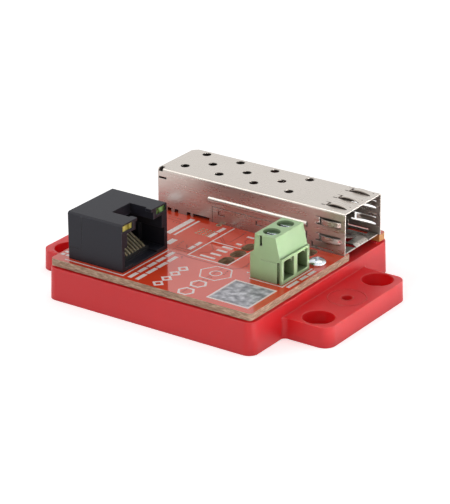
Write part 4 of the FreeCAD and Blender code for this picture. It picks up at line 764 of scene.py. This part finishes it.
def drive_screws():
    """Pan-head board screws with a cross recess, over rolled threads."""
    head_radius, dome_foot, dome_rise = 1.95, 9.62, 0.86
    crest, root, half_pitch, thread_top = 1.04, 0.86, 0.2, 9.1
    screw_y, cross_turn = 2.9, 0.35
    # Half length, half width and height of a slot of the cross, at its floor and over the head
    slot_ends = ((0.55, 0.14, 9.55), (1.25, 0.24, 10.7))
    dome = [(head_radius * math.sin(math.radians(turn)), dome_foot + dome_rise * math.cos(math.radians(turn)))
            for turn in range(90, 0, -9)]
    thread = [(crest if step % 2 else root, thread_top - half_pitch * step) for step in range(24)]
    point = [(0, 4.3), (0.5, 4.4)]
    under_head = [(1.0, BOARD_TOP), (1.9, BOARD_TOP), (head_radius, 9.3)]
    profile = point + thread[::-1] + under_head + dome + [(0, 10.48)]
    bm = bmesh.new()
    cross = bmesh.new()
    for x in (-22.8, 22.8):
        turned(bm, x, screw_y, profile)
        for turn in (cross_turn, cross_turn + math.pi / 2):
            reach = Vector((math.cos(turn), math.sin(turn)))
            across = Vector((-reach.y, reach.x))
            corners = []
            for length, width, height in slot_ends:
                for one, other in ((1, 1), (-1, 1), (-1, -1), (1, -1)):
                    spot = Vector((x, screw_y)) + reach * length * one + across * width * other
                    corners.append(cross.verts.new((spot.x * MM, spot.y * MM, height * MM)))
            cross.faces.new(corners[3::-1])
            cross.faces.new(corners[4:])
            for step in range(4):
                after = (step + 1) % 4
                cross.faces.new((corners[step], corners[after], corners[4 + after], corners[4 + step]))
    mesh = bpy.data.meshes.new("cross")
    cross.to_mesh(mesh)
    cross.free()
    cutter = bpy.data.objects.new("cross", mesh)
    bpy.context.scene.collection.objects.link(cutter)
    screws = new_piece("pan_head_screws", FINISH_OF_SLOT["zinc_steel"], bm)
    for face in screws.data.polygons:
        face.use_smooth = True
    carve(screws, cutter)
    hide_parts("board_screws")


def mould_rings():
    """The faint rings that the ejector sleeve leaves round the small hole of each ear."""
    hole_x, hole_y = 31.85, 0.4
    ear_top, sunk = 4.6, 4.58
    corners = 72
    bm = bmesh.new()
    for side in (1, -1):
        for radius, width, height in ((4.1, 0.16, 0.05), (1.42, 0.1, 0.04)):
            outer = disc(side * hole_x, hole_y, radius + width / 2, corners)
            inner = disc(side * hole_x, hole_y, radius - width / 2, corners)
            raise_ring(bm, outer, inner, sunk, ear_top + height)
    new_piece("ejector_rings", FINISH_OF_SLOT["red_plastic"], bm)


dress_solids()
print_legend()
print_marks()
lay_label()
lay_tracks()
lay_vias()
mill_light_slots()
drive_screws()
mould_rings()


# Stage, light and view
def floor_paper():
    """White background paper: matt, and lifted to white for the eye alone, so that shadows stay."""
    lift_for_eye = 0.5
    material, tree, place = start_material("floor_paper")
    fibre = add(tree, "ShaderNodeTexNoise", {"Vector": place, "Scale": per_metre(3.0), "Detail": 3.0})
    colour = add(tree, "ShaderNodeMix", {
        "Factor": fibre.outputs["Fac"], "A": linear("#f4f4f4"), "B": linear("#f8f8f8"),
    }, data_type="RGBA")
    path = add(tree, "ShaderNodeLightPath")
    seen = add(tree, "ShaderNodeMath", {
        0: path.outputs["Is Camera Ray"], 1: path.outputs["Is Glossy Ray"],
    }, operation="MAXIMUM")
    lift = add(tree, "ShaderNodeMath", {0: seen, 1: lift_for_eye}, operation="MULTIPLY")
    shader = add(tree, "ShaderNodeBsdfPrincipled", {
        "Base Color": colour, "Roughness": 0.9, "Specular IOR Level": 0.1,
        "Emission Color": linear("#ffffff"), "Emission Strength": lift,
    })
    return finish_material(material, tree, shader)


def lay_floor():
    """A wide sheet of paper under the part."""
    reach = 1.5
    mesh = bpy.data.meshes.new("floor")
    corners = [(-reach, -reach, 0), (reach, -reach, 0), (reach, reach, 0), (-reach, reach, 0)]
    mesh.from_pydata(corners, [], [(0, 1, 2, 3)])
    floor = bpy.data.objects.new("floor", mesh)
    bpy.context.scene.collection.objects.link(floor)
    mesh.materials.append(floor_paper())


def softbox(name, place, aim, width, height, power, spread=180.0):
    """An area lamp that looks at a point, out of the camera's sight. Its spread is in degrees."""
    lamp = bpy.data.lights.new(name, "AREA")
    lamp.shape = "RECTANGLE"
    lamp.size = width
    lamp.size_y = height
    lamp.energy = power
    lamp.spread = math.radians(spread)
    holder = bpy.data.objects.new(name, lamp)
    bpy.context.scene.collection.objects.link(holder)
    holder.location = place
    holder.rotation_euler = (Vector(aim) - Vector(place)).to_track_quat("-Z", "Y").to_euler()
    holder.visible_camera = False


def light_studio():
    """A white tent: an even room, a lamp that draws bright lines along the folds, and a low lamp on the
    paper beside the part, which throws its light back at the part's end."""
    room_light, room_as_seen = 0.47, 1.0
    world = bpy.data.worlds.new("studio")
    bpy.context.scene.world = world
    world.use_nodes = True
    tree = world.node_tree
    tree.nodes.clear()
    path = add(tree, "ShaderNodeLightPath")
    seen = add(tree, "ShaderNodeMath", {
        0: path.outputs["Is Camera Ray"], 1: path.outputs["Is Glossy Ray"],
    }, operation="MAXIMUM")
    seen = add(tree, "ShaderNodeMath", {
        0: seen, 1: path.outputs["Is Transmission Ray"],
    }, operation="MAXIMUM")
    level = add(tree, "ShaderNodeMapRange", {"Value": seen, "To Min": room_light, "To Max": room_as_seen})
    room = add(tree, "ShaderNodeBackground", {"Color": linear("#ffffff"), "Strength": level})
    add(tree, "ShaderNodeOutputWorld", {"Surface": room})
    middle = (0, 0, 10 * MM)
    softbox("fold_strip", place=(-0.424, -0.312, 0.6), aim=middle, width=0.34, height=0.34, power=0.95)
    softbox("mouth_side_softbox", place=(0.75, 0.05, 0.12), aim=middle, width=0.35, height=0.2, power=0.4)
    softbox("paper_light", place=(0.135, 0.0, 0.05), aim=(0.135, 0.0, 0.0),
            width=0.15, height=0.26, power=0.62, spread=60.0)
    softbox("overhead", place=(0.1, 0.25, 0.8), aim=middle, width=0.5, height=0.5, power=0.8)


def set_camera():
    """A long lens at the photograph's own angle. Its frame is 450 by 504, so the sensor fits its height."""
    lens = bpy.data.cameras.new("camera")
    lens.sensor_fit = "VERTICAL"
    lens.sensor_height = SENSOR_HEIGHT
    lens.lens = CAMERA_LENS
    lens.clip_start = 0.01
    lens.clip_end = 20
    camera = bpy.data.objects.new("camera", lens)
    bpy.context.scene.collection.objects.link(camera)
    camera.location = CAMERA_PLACE
    facing = (Vector(CAMERA_TARGET) - Vector(CAMERA_PLACE)).to_track_quat("-Z", "Y")
    rolled = Euler((0, 0, math.radians(CAMERA_ROLL_DEGREES))).to_quaternion()
    camera.rotation_euler = (facing @ rolled).to_euler()
    bpy.context.scene.camera = camera


lay_floor()
light_studio()
set_camera()
bpy.context.scene.view_settings.view_transform = "Standard"
